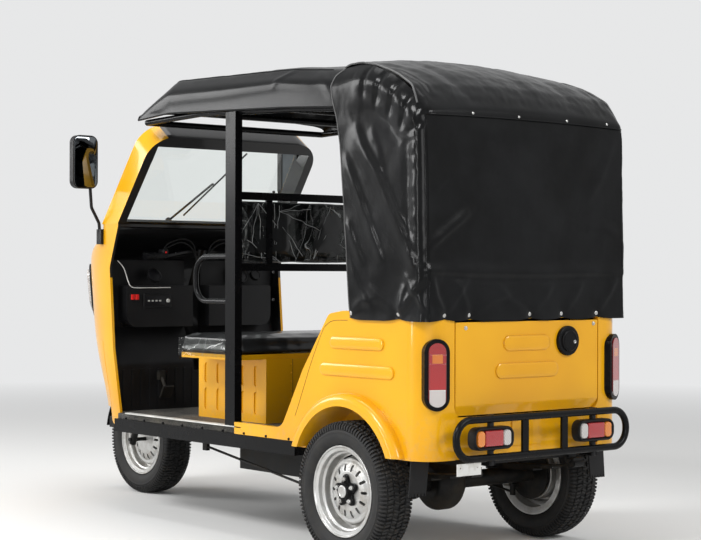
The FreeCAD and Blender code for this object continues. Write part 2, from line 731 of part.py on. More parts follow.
def bumper_lamps():
    """Lamp cases inside the bumper's loop, each on a bracket between its tubes."""
    outline = corners_of(BUMPER_LAMP_X, BUMPER_LAMP_Z, BUMPER_LAMP_W, BUMPER_LAMP_H, 32)
    lamp = back_slab(outline, BUMPER_Y - 30, BUMPER_Y + BUMPER_LAMP_OUT)
    rims = [e for e in lamp.Edges if abs(e.CenterOfMass.y - BUMPER_Y - BUMPER_LAMP_OUT) < 0.01]
    lamp = lamp.makeChamfer(4.0, rims)
    bracket = box(BUMPER_LAMP_X - 20, BUMPER_LAMP_X + 20, BUMPER_Y - 5, BUMPER_Y + 5,
                  BUMPER_LOW + BUMPER_R + SEAT_GAP, BUMPER_HIGH - BUMPER_R - SEAT_GAP)
    return pair(fuse([lamp, bracket]))


PLATE_X = 371.5
PLATE_Z = 372.0
PLATE_W = 113.0
PLATE_LOW = 345.0
PLATE_HOLE_X = 40.0
PLATE_HOLE_R = 3.25


def rear_plate():
    """A thin bracket under the bumper's tube, with two holes for a number plate."""
    plate = box(PLATE_X - PLATE_W / 2, PLATE_X + PLATE_W / 2, BUMPER_Y - 2, BUMPER_Y + 1, PLATE_LOW,
                BUMPER_LOW - BUMPER_R - SEAT_GAP)
    for x in (PLATE_X - PLATE_HOLE_X, PLATE_X + PLATE_HOLE_X):
        plate = plate.cut(rod(point(x, BUMPER_Y - PAST, PLATE_Z), point(x, BUMPER_Y + PAST, PLATE_Z),
                              PLATE_HOLE_R))
    return plate


FLAP_Y = 318.0
FLAP_T = 6.0
FLAP_LOW = 262.0
FLAP_TEETH = 5
TOOTH_W = 8.0
TOOTH_H = 14.0


def mud_flaps():
    """Hanging rubber flaps behind the rear wheels, with a toothed lower edge."""
    x0 = BODY_HALF - 99
    x1 = BODY_HALF - 15
    flap = back_slab([(x0, BODY_LOW - SEAT_GAP, 0), (x1, BODY_LOW - SEAT_GAP, 0), (x1 + 10, FLAP_LOW, 0),
                      (x0 + 16, FLAP_LOW, 0)], FLAP_Y, FLAP_Y + FLAP_T)
    pitch = (x1 - x0 - 6) / FLAP_TEETH
    for k in range(FLAP_TEETH):
        x = x0 + 16 + (k + 0.5) * pitch
        notch = back_slab([(x - TOOTH_W / 2, FLAP_LOW - 1, 0), (x, FLAP_LOW + TOOTH_H, 0),
                           (x + TOOTH_W / 2, FLAP_LOW - 1, 0)], FLAP_Y - 1, FLAP_Y + FLAP_T + 1)
        flap = flap.cut(notch)
    return pair(flap)


PEDAL_X = 230.0
PEDAL_Z = 512.0
ROD_R = 5.0
BRACKET_Y = -1085.0
BRACKET_LOW = 305.0
ROD_RISE = 17.0


def foot_brake():
    """The pedal that hangs from the front wall, and the rods that run to the rear brakes."""
    bracket = box(LEVER_X - 8, LEVER_X + 8, BRACKET_Y - 15, BRACKET_Y + 15, BRACKET_LOW, FLOOR_Z - SEAT_GAP)
    front = point(LEVER_X, BRACKET_Y + 5, BRACKET_LOW + ROD_RISE)
    back = point(LEVER_X, CAM_Y - 10 - 1.5, CAM_Z - 24)
    linkage = pair(fuse([rod(front, back, ROD_R), bracket]))
    wall = WALL_Y + WALL_RIB_OUT + SEAT_GAP
    hinge = box(PEDAL_X - 16, PEDAL_X + 16, wall, wall + 22, PEDAL_Z + 52, PEDAL_Z + 92)
    foot = point(PEDAL_X, wall + 58, PEDAL_Z)
    arm = rod(point(PEDAL_X, wall + 14, PEDAL_Z + 66), foot, 7)
    pad = Part.makeBox(58, 12, 62, point(PEDAL_X - 29, -6, -31))
    pad = pad.makeFillet(4, pad.Edges)
    pad.rotate(ORIGIN, X_AXIS, -30)
    pad.translate(point(0, foot.y, foot.z))
    return Part.makeCompound(linkage.Solids + [fuse([hinge, arm, pad])])


# Cowl

# z, centre line of the side arc, radius of the side arc, radius of the nose
COWL_SECTIONS = (
    (340, -1630, 210, 800),
    (483, -1640, 320, 600),
    (746, -1690, 500, 380),
    (1000, -1705, 590, 300),
    (1091, -1710, 600, 300),
    (1193, -1740, 200, 900),
    (COWL_TOP, -1750, 80, 1500),
)


def cowl_section(z, centre_y, side_r, nose_r, inset):
    """A plan outline at one height: straight side, side arc, nose arc, and back."""
    half = COWL_HALF - inset
    side_r = side_r - inset
    nose_r = nose_r - inset
    side_x = half - side_r
    between = abs(nose_r - side_r)
    step = math.sqrt(between ** 2 - side_x ** 2)
    towards = 1 if nose_r > side_r else -1
    nose_y = centre_y + towards * step
    side_centre = point(side_x, centre_y, z)
    nose_centre = point(0, nose_y, z)
    away = (side_centre - nose_centre).normalize() * towards
    joint = side_centre + away * side_r
    side_mid = side_centre + (X_AXIS + away).normalize() * side_r
    nose = point(0, nose_y - nose_r, z)
    start = point(half, COWL_OPEN_Y, z)
    turn = point(half, centre_y, z)
    joint_r, mid_r, turn_r, start_r = (point(-p.x, p.y, p.z) for p in (joint, side_mid, turn, start))
    return Part.Wire([
        Part.LineSegment(start, turn).toShape(),
        Part.Arc(turn, side_mid, joint).toShape(),
        Part.Arc(joint, nose, joint_r).toShape(),
        Part.Arc(joint_r, mid_r, turn_r).toShape(),
        Part.LineSegment(turn_r, start_r).toShape(),
        Part.LineSegment(start_r, start).toShape(),
    ])


def cowl_loft(inset, top_cut=0.0):
    wires = []
    for z, centre_y, side_r, nose_r in COWL_SECTIONS:
        drop = top_cut if z == COWL_TOP else 0.0
        wires.append(cowl_section(z - drop, centre_y, side_r, nose_r, inset))
    return Part.makeLoft(wires, True, False)


COWL_LOW = 300.0
# the cowl's rear edge seen from the side, and the arch of its foot: Y, Z, rounding
COWL_BEHIND = (
    (-1500, COWL_LOW, 0), (-1500, COWL_TOP + 20, 0), (-1640, COWL_TOP + 20, 0), (-1650, 1238, 30),
    (-1716, 1066, 60), (-1685, 707, 200), (-1624, 427, 20), (-1658, 362, 6), (-1658, COWL_LOW, 0),
)
COWL_FOOT = ((-1600, 327, 0), (-2025, 582, 300), (-2500, 582, 0), (-2500, COWL_LOW, 0), (-1600, COWL_LOW, 0))


def front_cowl():
    """The painted nose shell, open below for the wheel and behind for the cab."""
    shell = cowl_loft(0).cut(cowl_loft(COWL_WALL, COWL_WALL))
    inner = COWL_HALF - COWL_WALL
    shell = shell.cut(box(-inner, inner, -1800, -1500, COWL_LOW, COWL_TOP - COWL_WALL))
    reach = COWL_HALF + 4 * PAST
    return shell.cut(side_slab(COWL_BEHIND, -reach, reach)).cut(side_slab(COWL_FOOT, -reach, reach))


def cowl_pad(outline, grow):
    """A pad that follows the cowl's skin, cut to an outline seen across the corner."""
    return outline.common(cowl_loft(-grow)).cut(cowl_loft(-SEAT_GAP))


LAMP_ANGLE = math.radians(52)
LAMP_IN = 250.0
LAMP_REACH = 700.0
# the headlamp's case and opening on a plane that faces the left corner: across, Z, rounding
LAMP_CASE = ((-105, 1075, 50), (95, 1085, 50), (85, 900, 60), (0, 770, 25), (-95, 900, 60))
LAMP_OPENING = ((-80, 1055, 40), (72, 1062, 40), (68, 915, 45), (0, 850, 30), (-74, 915, 45))
LENS_FIT = 0.5


def corner_slab(corners):
    """An outline on a plane that faces the left corner, made solid out past the cowl."""
    out = point(math.cos(LAMP_ANGLE), -math.sin(LAMP_ANGLE), 0)
    across = point(math.sin(LAMP_ANGLE), math.cos(LAMP_ANGLE), 0)
    base = point(0, -1700, 0) + out * LAMP_IN
    wire = rounded([(base + across * a + Z_AXIS * z, r) for a, z, r in corners])
    return slab(wire, out * (LAMP_REACH - LAMP_IN))


def headlamp_housings():
    return pair(cowl_pad(corner_slab(LAMP_CASE), 10).cut(corner_slab(LAMP_OPENING)))


def headlamp_lenses():
    """Lenses that fill the openings of the cases, a little smaller on every side."""
    middle_z = sum(z for _, z, _ in LAMP_OPENING) / len(LAMP_OPENING)
    smaller = []
    for a, z, r in LAMP_OPENING:
        in_a = LENS_FIT if a < 0 else -LENS_FIT if a > 0 else 0.0
        in_z = LENS_FIT if z < middle_z else -LENS_FIT
        smaller.append((a + in_a, z + in_z, r))
    return pair(cowl_pad(corner_slab(smaller), 22))


# Screen

SCREEN_UP = point(0, math.sin(LEAN), math.cos(LEAN))
SCREEN_OUT = point(0, -math.cos(LEAN), math.sin(LEAN))
SCREEN_SKIRT = 150.0
FRAME_FOOT = 42.0
FRAME_HEAD = 52.0
LIP_DEPTH = 34.0


def screen_point(x, up, out=0.0):
    return point(x, SCREEN_BASE_Y, COWL_TOP) + SCREEN_UP * up + SCREEN_OUT * out


def screen_slab(corners, out0, out1):
    """An outline of X, distance up the screen, radius, made solid between two depths."""
    wire = rounded([(screen_point(x, up, out0), r) for x, up, r in corners])
    return slab(wire, SCREEN_OUT * (out1 - out0))


def screen_opening(grow, low_bend, high_bend, low=None):
    """The screen's opening, grown on every side; its foot may be put lower."""
    foot = COWL_HALF - PILLAR_W + grow
    head = SCREEN_TOP_HALF - PILLAR_W + grow
    base = FRAME_FOOT - grow if low is None else low
    top = SCREEN_LENGTH - FRAME_HEAD + grow
    left = [(foot, base, low_bend), (head, top, high_bend)]
    return left + [(-x, up, bend) for x, up, bend in reversed(left)]


def windshield_frame():
    """The painted screen surround with its two deep pillars."""
    foot = COWL_HALF - 1
    top = SCREEN_LENGTH
    outer = screen_slab([(-foot, -SCREEN_SKIRT, 0), (foot, -SCREEN_SKIRT, 0), (foot, 0, 0),
                         (SCREEN_TOP_HALF, top, 120), (-SCREEN_TOP_HALF, top, 120), (-foot, 0, 0)],
                        -PILLAR_DEPTH, 0)
    hole = screen_slab(screen_opening(0, 50, 90), -PILLAR_DEPTH - 1, 1)
    rebate = screen_slab(screen_opening(REBATE_W, 60, 100), -REBATE_DEPTH, 1)
    inside = screen_slab(screen_opening(0, 0, 0, -200), -PILLAR_DEPTH - 1, -LIP_DEPTH)
    frame = outer.cut(hole).cut(rebate).cut(inside)
    reach = BODY_HALF + 10 * PAST
    return frame.cut(box(-reach, reach, -2200, -1200, 900, COWL_TOP + SEAT_GAP))


def windshield():
    back = -REBATE_DEPTH + SEAT_GAP
    return screen_slab(screen_opening(REBATE_W - SEAT_GAP, 60, 100), back, back + SCREEN_T)


WIPER_PIVOT = (120, 22)
WIPER_ELBOW = (-40, 230)


def wiper():
    """The wiper's arm and blade, on a spindle at the foot of the screen."""
    pivot = screen_point(*WIPER_PIVOT, 14)
    elbow = screen_point(*WIPER_ELBOW, 14)
    spindle = rod(screen_point(*WIPER_PIVOT, SEAT_GAP), screen_point(*WIPER_PIVOT, 22), 13)
    blade = rod(screen_point(60, 60, 2), screen_point(-150, 410, 2), 4)
    return fuse([spindle, rod(pivot, elbow, 5), blade, rod(elbow, screen_point(*WIPER_ELBOW, 2), 5)])


MIRROR_X = COWL_HALF + 98
MIRROR_Y = -1780.0
MIRROR_Z = 1529.0
MIRROR_W = 124.0
MIRROR_H = 234.0
MIRROR_T = 44.0
MIRROR_FOOT_Z = 1168.0


def mirrors():
    """Tall door mirrors on bent arms from the cowl's shoulders."""
    head = back_slab(corners_of(MIRROR_X, MIRROR_Z, MIRROR_W, MIRROR_H, 34),
                     MIRROR_Y - MIRROR_T / 2, MIRROR_Y + MIRROR_T / 2)
    front = [e for e in head.Edges if abs(e.CenterOfMass.y - MIRROR_Y + MIRROR_T / 2) < 0.01]
    head = head.makeChamfer(12.0, front)
    foot_y = MIRROR_Y - 10
    arm = tube([point(COWL_HALF + 3, foot_y, MIRROR_FOOT_Z + 12), point(COWL_HALF + 10, foot_y, 1262),
                point(COWL_HALF + 55, MIRROR_Y, 1330), point(COWL_HALF + 66, MIRROR_Y, MIRROR_Z - 60)], 7, 30)
    foot = box(COWL_HALF - 8, COWL_HALF + 12, foot_y - 18, foot_y + 20, MIRROR_FOOT_Z, MIRROR_FOOT_Z + 67)
    return pair(fuse([head, arm, foot]).cut(cowl_loft(-SEAT_GAP)))


# Cab

WALL_Y = -1684.0
WALL_T = 16.0
WALL_TOP = 640.0
WALL_RIB_OUT = 4.0
WALL_RIBS = 9
WALL_RIB_PITCH = 46.0
CONSOLE_Y = -1690.0
CONSOLE_HALF = COWL_IN - 63
CONSOLE_LOW = 800.0
CONSOLE_TOP = on_axis(BAR_REACH).z - 139
BULKHEAD_Y = SCREEN_BASE_Y
BULKHEAD_T = 20.0
STEM_SLOT_HALF = 45.0
POD_IN = 150.0
POD_OUT = CONSOLE_HALF - 10


def wall_ribs():
    """Upright ribs on the lower front wall, facing the driver's feet."""
    ribs = []
    for k in range(-WALL_RIBS, WALL_RIBS + 1):
        x = k * WALL_RIB_PITCH
        ribs.append(box(x - 7, x + 7, WALL_Y - 2, WALL_Y + WALL_RIB_OUT, CAB_BASE + 16, WALL_TOP - 26))
    return ribs


def instrument_pod():
    """A sloped hood on the left half of the console, its back wall leaning with the bar's sweep."""
    hood = side_slab([(BULKHEAD_Y + 1, CONSOLE_TOP - 2, 0), (CONSOLE_Y - 14, CONSOLE_TOP - 2, 0),
                      (CONSOLE_Y - 14, CONSOLE_TOP + 16, 10), (CONSOLE_Y - 50, CONSOLE_TOP + 86, 24),
                      (BULKHEAD_Y + 1, CONSOLE_TOP + 112, 0)], POD_IN, POD_OUT)
    ends = [f for f in hood.Faces if abs(f.normalAt(0, 0).x) > 0.9]
    upper = [e for f in ends for e in f.Edges
             if e.CenterOfMass.z > CONSOLE_TOP + 4 and e.CenterOfMass.y > BULKHEAD_Y + 2]
    return hood.makeChamfer(12.0, upper)


def dashboard():
    """The black moulding behind the cowl: ribbed wall, console, and a hood on each side."""
    shelf_top = CONSOLE_TOP + 127
    wall = side_slab([
        (WALL_Y, CAB_BASE, 0), (WALL_Y, WALL_TOP, 40), (BULKHEAD_Y + BULKHEAD_T, CONSOLE_LOW, 20),
        (BULKHEAD_Y + BULKHEAD_T, shelf_top - 12, 6), (BULKHEAD_Y, shelf_top, 6),
        (BULKHEAD_Y, CONSOLE_LOW - 4, 20), (WALL_Y - WALL_T, WALL_TOP - 12, 40),
        (WALL_Y - WALL_T, CAB_BASE, 0)], -COWL_IN, COWL_IN)
    console = back_slab([(-CONSOLE_HALF, CONSOLE_LOW, 50), (CONSOLE_HALF, CONSOLE_LOW, 50),
                         (CONSOLE_HALF, CONSOLE_TOP, 14), (-CONSOLE_HALF, CONSOLE_TOP, 14)],
                        BULKHEAD_Y + 4, CONSOLE_Y)
    pod = instrument_pod()
    slot = box(-STEM_SLOT_HALF, STEM_SLOT_HALF, -1900, -1600, 600, 1300)
    return fuse([wall, console, pod, mirrored(pod)] + wall_ribs()).cut(slot)


# Y and Z of each cross hoop; the side rails run through the same places
HOOPS = ((-1405, 1682), (-1000, 1692), (-400, 1668), (40, 1640), (330, 1590))
REAR_UPRIGHTS = HOOPS[-2:]


def roof_frame():
    """Door posts, roof rails, cross hoops and the rear uprights."""
    rail_x = POST_X - 12
    side = [tube([point(rail_x, y, z) for y, z in HOOPS], HOOP_R, 60)]
    side.append(box(POST_X - POST_T / 2, POST_X + POST_T / 2, POST_Y - POST_W / 2, POST_Y + POST_W / 2,
                    CAB_BASE, POST_TOP))
    for y, z in REAR_UPRIGHTS:
        side.append(rod(point(rail_x - 8, y, BODY_TOP - 60), point(rail_x, y, z), HOOP_R))
    hoops = [rod(point(-rail_x, y, z), point(rail_x, y, z), HOOP_R) for y, z in HOOPS]
    return fuse(side + [mirrored(piece) for piece in side] + hoops)


def cover_arch(y, skirt, welt, crown, half, top_half):
    """Seven points of an arched cover at one station, from the left hem to the right."""
    knee = welt - 0.35 * (welt - skirt)
    left = [point(half, y, skirt), point(half - 4, y, knee), point(top_half, y, welt)]
    right = [point(-p.x, p.y, p.z) for p in reversed(left)]
    return left + [point(0, y, crown)] + right


def arch_edges(arch):
    lines = [(0, 1), (1, 2), (4, 5), (5, 6)]
    edges = [Part.LineSegment(arch[a], arch[b]).toShape() for a, b in lines]
    edges.insert(2, Part.Arc(arch[2], arch[3], arch[4]).toShape())
    return edges


def inner_arch(station, half, top_half, t):
    y, skirt, welt, crown = station
    return cover_arch(y, skirt, welt - t, crown - t, half - t, top_half - t * 0.6)


def cover_section(station, half, top_half, t):
    """A closed inverted-U outline of cloth thickness t at one station."""
    outer = cover_arch(*station, half, top_half)
    inner = inner_arch(station, half, top_half, t)[::-1]
    right_hem = Part.LineSegment(outer[6], inner[0]).toShape()
    left_hem = Part.LineSegment(inner[6], outer[0]).toShape()
    return Part.Wire(arch_edges(outer) + [right_hem] + arch_edges(inner) + [left_hem])


def cover_space(stations, half, top_half, t):
    """The space under an arched cover, down to the body's lower edge."""
    wires = []
    for station in stations:
        arch = inner_arch(station, half, top_half, t)
        y = station[0]
        feet = [point(-half + t, y, BODY_LOW), point(half - t, y, BODY_LOW)]
        below = [arch[6], feet[0], feet[1], arch[0]]
        sides = [Part.LineSegment(a, b).toShape() for a, b in zip(below, below[1:])]
        wires.append(Part.Wire(arch_edges(arch) + sides))
    return Part.makeLoft(wires, True, True)


# y, skirt z, shoulder z, crown z
FRONT_COVER = (
    (-1422, 1692, 1722, 1738),
    (-1197, 1705, 1847, 1868),
    (-406, 1671, 1827, 1850),
    (SEAM_Y, 1648, 1790, 1826),
)
REAR_COVER = (
    (SEAM_Y + SEAT_GAP, 1740, 1806, 1836),
    (45, 1742, 1796, 1826),
    (206, 1700, 1750, 1778),
    (326, 1640, 1684, 1708),
    (BODY_BACK + PAST, 1596, 1614, 1630),
)


def roof_cover_front():
    wires = [cover_section(station, ROOF_HALF, ROOF_TOP_HALF, CANOPY_T) for station in FRONT_COVER]
    return Part.makeLoft(wires, True, True)


def roof_cover_rear():
    wires = [cover_section(station, HOOD_HALF, HOOD_TOP_HALF, CANOPY_T) for station in REAR_COVER]
    return Part.makeLoft(wires, True, True)


# the curtain's leaning front edge: Y, Z, rounding
CURTAIN_EDGE = ((13, HEM_Z - PAST, 0), (-44, 1507, 0), (SEAM_Y + 2 * SEAT_GAP, 1604, 20))
CURTAIN_REACH = 1840.0


def curtain_plan(skin):
    """The curtain's plan outline, open to the front, skin clear of the body."""
    half = BODY_HALF + skin
    back = BODY_BACK + skin
    front = SEAM_Y - 9 * PAST
    bend = CURTAIN_CORNER - CANOPY_T + skin
    return [(-half, front, 0), (half, front, 0), (half, back, bend), (-half, back, bend)]


def rear_curtain():
    """The side and rear cloth walls that hang from the hood to the body."""
    wall = plan_slab(curtain_plan(SEAT_GAP + CANOPY_T), HEM_Z, CURTAIN_REACH)
    hollow = [(x, y - (PAST if y < 0 else 0), r) for x, y, r in curtain_plan(SEAT_GAP)]
    wall = wall.cut(plan_slab(hollow, HEM_Z - PAST, CURTAIN_REACH + PAST))
    back = BODY_BACK + 2 * PAST
    keep = side_slab(CURTAIN_EDGE + ((SEAM_Y + 2 * SEAT_GAP, CURTAIN_REACH, 0), (back, CURTAIN_REACH, 0),
                                     (back, HEM_Z - PAST, 0)), -BODY_HALF - 9 * PAST, BODY_HALF + 9 * PAST)
    space = cover_space(REAR_COVER, HOOD_HALF, HOOD_TOP_HALF, CANOPY_T + SEAT_GAP)
    return wall.common(keep).common(space)


SEAT_TOP = SEAT_BOX_TOP + TRAY_T
# Z and height of each row of pressed recesses in the seat box, and the Y of the columns
RECESS_ROWS = ((620, 84), (510, 92))
RECESS_FIRST_Y = -1210.0
RECESS_PITCH = 89.0
RECESSES = 5
RECESS_W = 26.0
RECESS_DEPTH = 5.0


def seat_box():
    """The painted box under the driver, with pressed recesses in its sides and a tray on top."""
    half = SEAT_BOX_HALF
    t = SEAT_BOX_WALL
    shell = box(-half, half, SEAT_BOX_FRONT, SEAT_BOX_BACK, CAB_BASE, SEAT_BOX_TOP)
    shell = shell.cut(box(-half + t, half - t, SEAT_BOX_FRONT + t, SEAT_BOX_BACK - t, CAB_BASE - 1,
                          SEAT_BOX_TOP - t))
    recesses = []
    for k in range(RECESSES):
        y = RECESS_FIRST_Y + k * RECESS_PITCH
        for z, height in RECESS_ROWS:
            recess = side_slab(stadium(y, z, RECESS_W, height), half - RECESS_DEPTH, half + 1)
            recesses += [recess, mirrored(recess)]
    shell = shell.cut(Part.makeCompound(recesses))
    tray_half = BODY_HALF - CUSHION_INSET - 5
    tray = plan_slab(corners_of(0, (CUSHION_FRONT + CUSHION_BACK) / 2, 2 * tray_half,
                                CUSHION_BACK - CUSHION_FRONT, 14), SEAT_BOX_TOP - 1, SEAT_TOP)
    return fuse([shell, tray])


def pad(x_half, y0, y1, z0, z1, bend):
    block = box(-x_half, x_half, y0, y1, z0, z1)
    return block.makeFillet(bend, block.Edges)


def driver_cushion():
    base = SEAT_TOP + SEAT_GAP
    return pad(BODY_HALF - CUSHION_INSET, CUSHION_FRONT, CUSHION_BACK, base, base + CUSHION_T, 16)


REST_RAIL_Y = -772.0
REST_RAIL_LOW = 1050.0
REST_RAIL_HIGH = 1335.0
REST_RAIL_W = 30.0
STRAP_X = 300.0
STRAP_W = 30.0


def backrest_frame():
    """Two rails across the door posts that hold the driver's backrest."""
    reach = BODY_HALF - POST_T - 2 - SEAT_GAP
    rails = [box(-reach, reach, REST_RAIL_Y, REST_RAIL_Y + REST_RAIL_W, z, z + REST_RAIL_W)
             for z in (REST_RAIL_LOW, REST_RAIL_HIGH)]
    strap = box(STRAP_X - STRAP_W / 2, STRAP_X + STRAP_W / 2, REST_RAIL_Y, REST_RAIL_Y + PAST,
                REST_RAIL_LOW + 20, REST_RAIL_HIGH + 10)
    return fuse(rails + [strap, mirrored(strap)])


def driver_backrest():
    return pad(BODY_HALF - CUSHION_INSET - 5, REST_RAIL_Y - 88, REST_RAIL_Y - SEAT_GAP,
               REST_RAIL_LOW + 33, REST_RAIL_HIGH - 2, 20)


ARMREST_LOW = 927.0
ARMREST_HIGH = 1107.0
ARMREST_REACH = 235.0
ARMREST_R = 11.0


def armrests():
    """D-shaped tube guards ahead of the door posts."""
    x = BODY_HALF - POST_T / 2 - 4
    y = POST_Y - POST_W / 2 - SEAT_GAP
    bend = (ARMREST_HIGH - ARMREST_LOW) / 2 - 12
    return pair(tube([point(x, y, ARMREST_HIGH), point(x, y - ARMREST_REACH, ARMREST_HIGH),
                      point(x, y - ARMREST_REACH, ARMREST_LOW), point(x, y, ARMREST_LOW)], ARMREST_R, bend))


BENCH_FRONT = -236.0
BENCH_BACK = 202.0
BENCH_WALL = 12.0
BENCH_REST_Y = 190.0
BENCH_REST_TOP = 1180.0


def passenger_seat_base():
    """The bench box between the wheel housings, its deck, and two straps for the backrest."""
    t = BENCH_WALL
    half = LINER_IN - SEAT_GAP
    low = FLOOR_Z + TUB_FLOOR_T + SEAT_GAP
    top = BENCH_TOP - 15
    shell = box(-half, half, TUB_FLOOR_Y + 2, BENCH_REST_Y - 40, low, top)
    shell = shell.cut(box(-half + t, half - t, BENCH_FRONT + t, BENCH_REST_Y, low - 1, top - t))
    deck = box(1 - INNER_HALF, INNER_HALF - 1, BENCH_FRONT, BENCH_BACK, top - 1, BENCH_TOP)
    strap = box(STRAP_X - STRAP_W / 2, STRAP_X + STRAP_W / 2, BENCH_REST_Y + SEAT_GAP, BENCH_BACK, top,
                BENCH_REST_TOP - 30)
    return fuse([shell, deck, strap, mirrored(strap)])


def passenger_cushion():
    base = BENCH_TOP + SEAT_GAP
    return pad(INNER_HALF - 5, -270, 108, base, base + BENCH_CUSHION_T, 20)


def passenger_backrest():
    return pad(INNER_HALF - 13, 110, BENCH_REST_Y, BENCH_TOP + BENCH_CUSHION_T + 1, BENCH_REST_TOP, 22)


SOLIDS = {
    "chassis_frame": chassis_frame,
    "floor_pan": floor_pan,
    "sills": sills,
    "battery_box": battery_box,
    "front_cowl": front_cowl,
    "dashboard": dashboard,
    "windshield_frame": windshield_frame,
    "windshield": windshield,
    "wiper": wiper,
    "headlamp_housings": headlamp_housings,
    "headlamp_lenses": headlamp_lenses,
    "mirrors": mirrors,
    "roof_frame": roof_frame,
    "roof_cover_front": roof_cover_front,
    "roof_cover_rear": roof_cover_rear,
    "rear_curtain": rear_curtain,
    "seat_box": seat_box,
    "driver_cushion": driver_cushion,
    "backrest_frame": backrest_frame,
    "driver_backrest": driver_backrest,
    "armrests": armrests,
    "rear_body": rear_body,
    "passenger_seat_base": passenger_seat_base,
    "passenger_cushion": passenger_cushion,
    "passenger_backrest": passenger_backrest,
    "tailgate": tailgate,
    "lock_cap": lock_cap,
    "tail_lamp_bezels": tail_lamp_bezels,
    "tail_lamp_lenses": tail_lamp_lenses,
    "bumper": bumper,
    "bumper_lamps": bumper_lamps,
    "rear_plate": rear_plate,
    "mud_flaps": mud_flaps,
    "rear_axle": rear_axle,
    "drive_motor": drive_motor,
    "leaf_springs": leaf_springs,
    "foot_brake": foot_brake,
    "rear_left_tyre": lambda: tyre(REAR_TRACK / 2, 0),
    "rear_left_wheel": lambda: rear_wheel(1),
    "rear_right_tyre": lambda: tyre(-REAR_TRACK / 2, 0),
    "rear_right_wheel": lambda: rear_wheel(-1),
    "front_tyre": lambda: tyre(0, FRONT_Y),
    "front_wheel": front_wheel,
    "front_fork": front_fork,
    "front_mudguard": front_mudguard,
    "handlebar": handlebar,
}

# The vehicle reaches from the guard over the front tyre to the lamps in the bumper.
FRONT_REACH = FRONT_Y - GUARD_R
BACK_REACH = BUMPER_Y + BUMPER_LAMP_OUT
MIDDLE = (FRONT_REACH + BACK_REACH) / 2

for name, make in SOLIDS.items():
    shape = make()
    shape.translate(point(0, -MIDDLE, 0))
    ok = shape.isValid() and all(solid.Volume > 0 for solid in shape.Solids)
    bounds = shape.BoundBox
    print(f"{name:22s} solids {len(shape.Solids)} valid {ok} volume {shape.Volume / 1e6:8.3f} l",
          f"x {bounds.XMin:.0f} {bounds.XMax:.0f} y {bounds.YMin:.0f} {bounds.YMax:.0f}",
          f"z {bounds.ZMin:.0f} {bounds.ZMax:.0f}")
    shape.exportStep(f"parts/{name}.step")
print("middle", MIDDLE, "length", BACK_REACH - FRONT_REACH)
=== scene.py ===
# %% [markdown]
# # A three-wheeled passenger rickshaw
# The solids of the vehicle come in first, each already in its true place, in metres. They are
# the rigid frame of this picture: nothing here moves or resizes them. This lesson gives each
# one its finish, and lays softer or finer pieces over them, such as cloth, tread and seams.

# %% Load the vehicle
import math
import bmesh
import bpy
from mathutils import Matrix, Vector


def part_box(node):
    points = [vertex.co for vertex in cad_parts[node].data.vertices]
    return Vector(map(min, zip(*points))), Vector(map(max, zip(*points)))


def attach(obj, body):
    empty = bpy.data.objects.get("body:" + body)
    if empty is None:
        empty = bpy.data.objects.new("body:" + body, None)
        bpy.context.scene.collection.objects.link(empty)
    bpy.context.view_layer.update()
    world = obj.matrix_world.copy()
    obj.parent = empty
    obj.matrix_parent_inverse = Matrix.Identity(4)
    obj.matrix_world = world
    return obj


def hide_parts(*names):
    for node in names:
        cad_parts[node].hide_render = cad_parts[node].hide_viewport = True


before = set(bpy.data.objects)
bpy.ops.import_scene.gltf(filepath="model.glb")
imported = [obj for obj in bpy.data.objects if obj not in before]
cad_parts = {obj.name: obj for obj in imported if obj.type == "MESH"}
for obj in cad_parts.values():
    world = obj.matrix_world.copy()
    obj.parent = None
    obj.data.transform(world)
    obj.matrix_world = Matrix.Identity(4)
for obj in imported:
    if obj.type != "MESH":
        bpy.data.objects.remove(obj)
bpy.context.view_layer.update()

# %% [markdown]
# ## Measures
# The vehicle's main sizes are needed again and again, so they get names here. They are read
# from the solids where that is possible, and the rest are written once in metres.

# %% Measures
TYRE_LOW, TYRE_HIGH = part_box("rear_left_tyre")
AXLE_Y = (TYRE_LOW.y + TYRE_HIGH.y) / 2
TYRE_R = (TYRE_HIGH.z - TYRE_LOW.z) / 2
TYRE_W = TYRE_HIGH.x - TYRE_LOW.x
WHEEL_X = (TYRE_LOW.x + TYRE_HIGH.x) / 2
FRONT_LOW, FRONT_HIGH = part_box("front_tyre")
FRONT_Y = (FRONT_LOW.y + FRONT_HIGH.y) / 2
print("rear axle at y", round(AXLE_Y, 4), "front axle at y", round(FRONT_Y, 4))

# %% [markdown]
# ## The camera, the floor and the light
# The photograph was taken from behind the left rear corner, at chest height. The camera's
# place was found by matching the wheels and the corners of the body, so it is written here as
# plain numbers. The floor is pale and endless, and the light is large and soft.

# %% Camera
CAMERA_AT = Vector((4.399, AXLE_Y + 4.763, 1.037))
CAMERA_YAW = math.radians(-129.3)
CAMERA_PITCH = math.radians(0.15)
CAMERA_ROLL = math.radians(0.15)
FOCAL_PIXELS = 1700.0
PHOTO_WIDTH = 701.0
SENSOR = 36.0


def add_object(name, data):
    """A new object in the scene, which shows the data."""
    made = bpy.data.objects.new(name, data)
    bpy.context.scene.collection.objects.link(made)
    return made


def place_camera():
    data = bpy.data.cameras.new("camera")
    data.sensor_width = SENSOR
    data.lens = FOCAL_PIXELS / PHOTO_WIDTH * SENSOR
    camera = add_object("camera", data)
    ahead = Vector((math.cos(CAMERA_YAW) * math.cos(CAMERA_PITCH),
                    math.sin(CAMERA_YAW) * math.cos(CAMERA_PITCH), math.sin(CAMERA_PITCH)))
    turn = ahead.to_track_quat("-Z", "Y").to_matrix().to_4x4()
    camera.matrix_world = Matrix.Translation(CAMERA_AT) @ turn @ Matrix.Rotation(CAMERA_ROLL, 4, "Z")
    bpy.context.scene.camera = camera
    return camera


CAMERA = place_camera()
print("camera looks along", [round(c, 3) for c in -CAMERA.matrix_world.col[2].xyz])

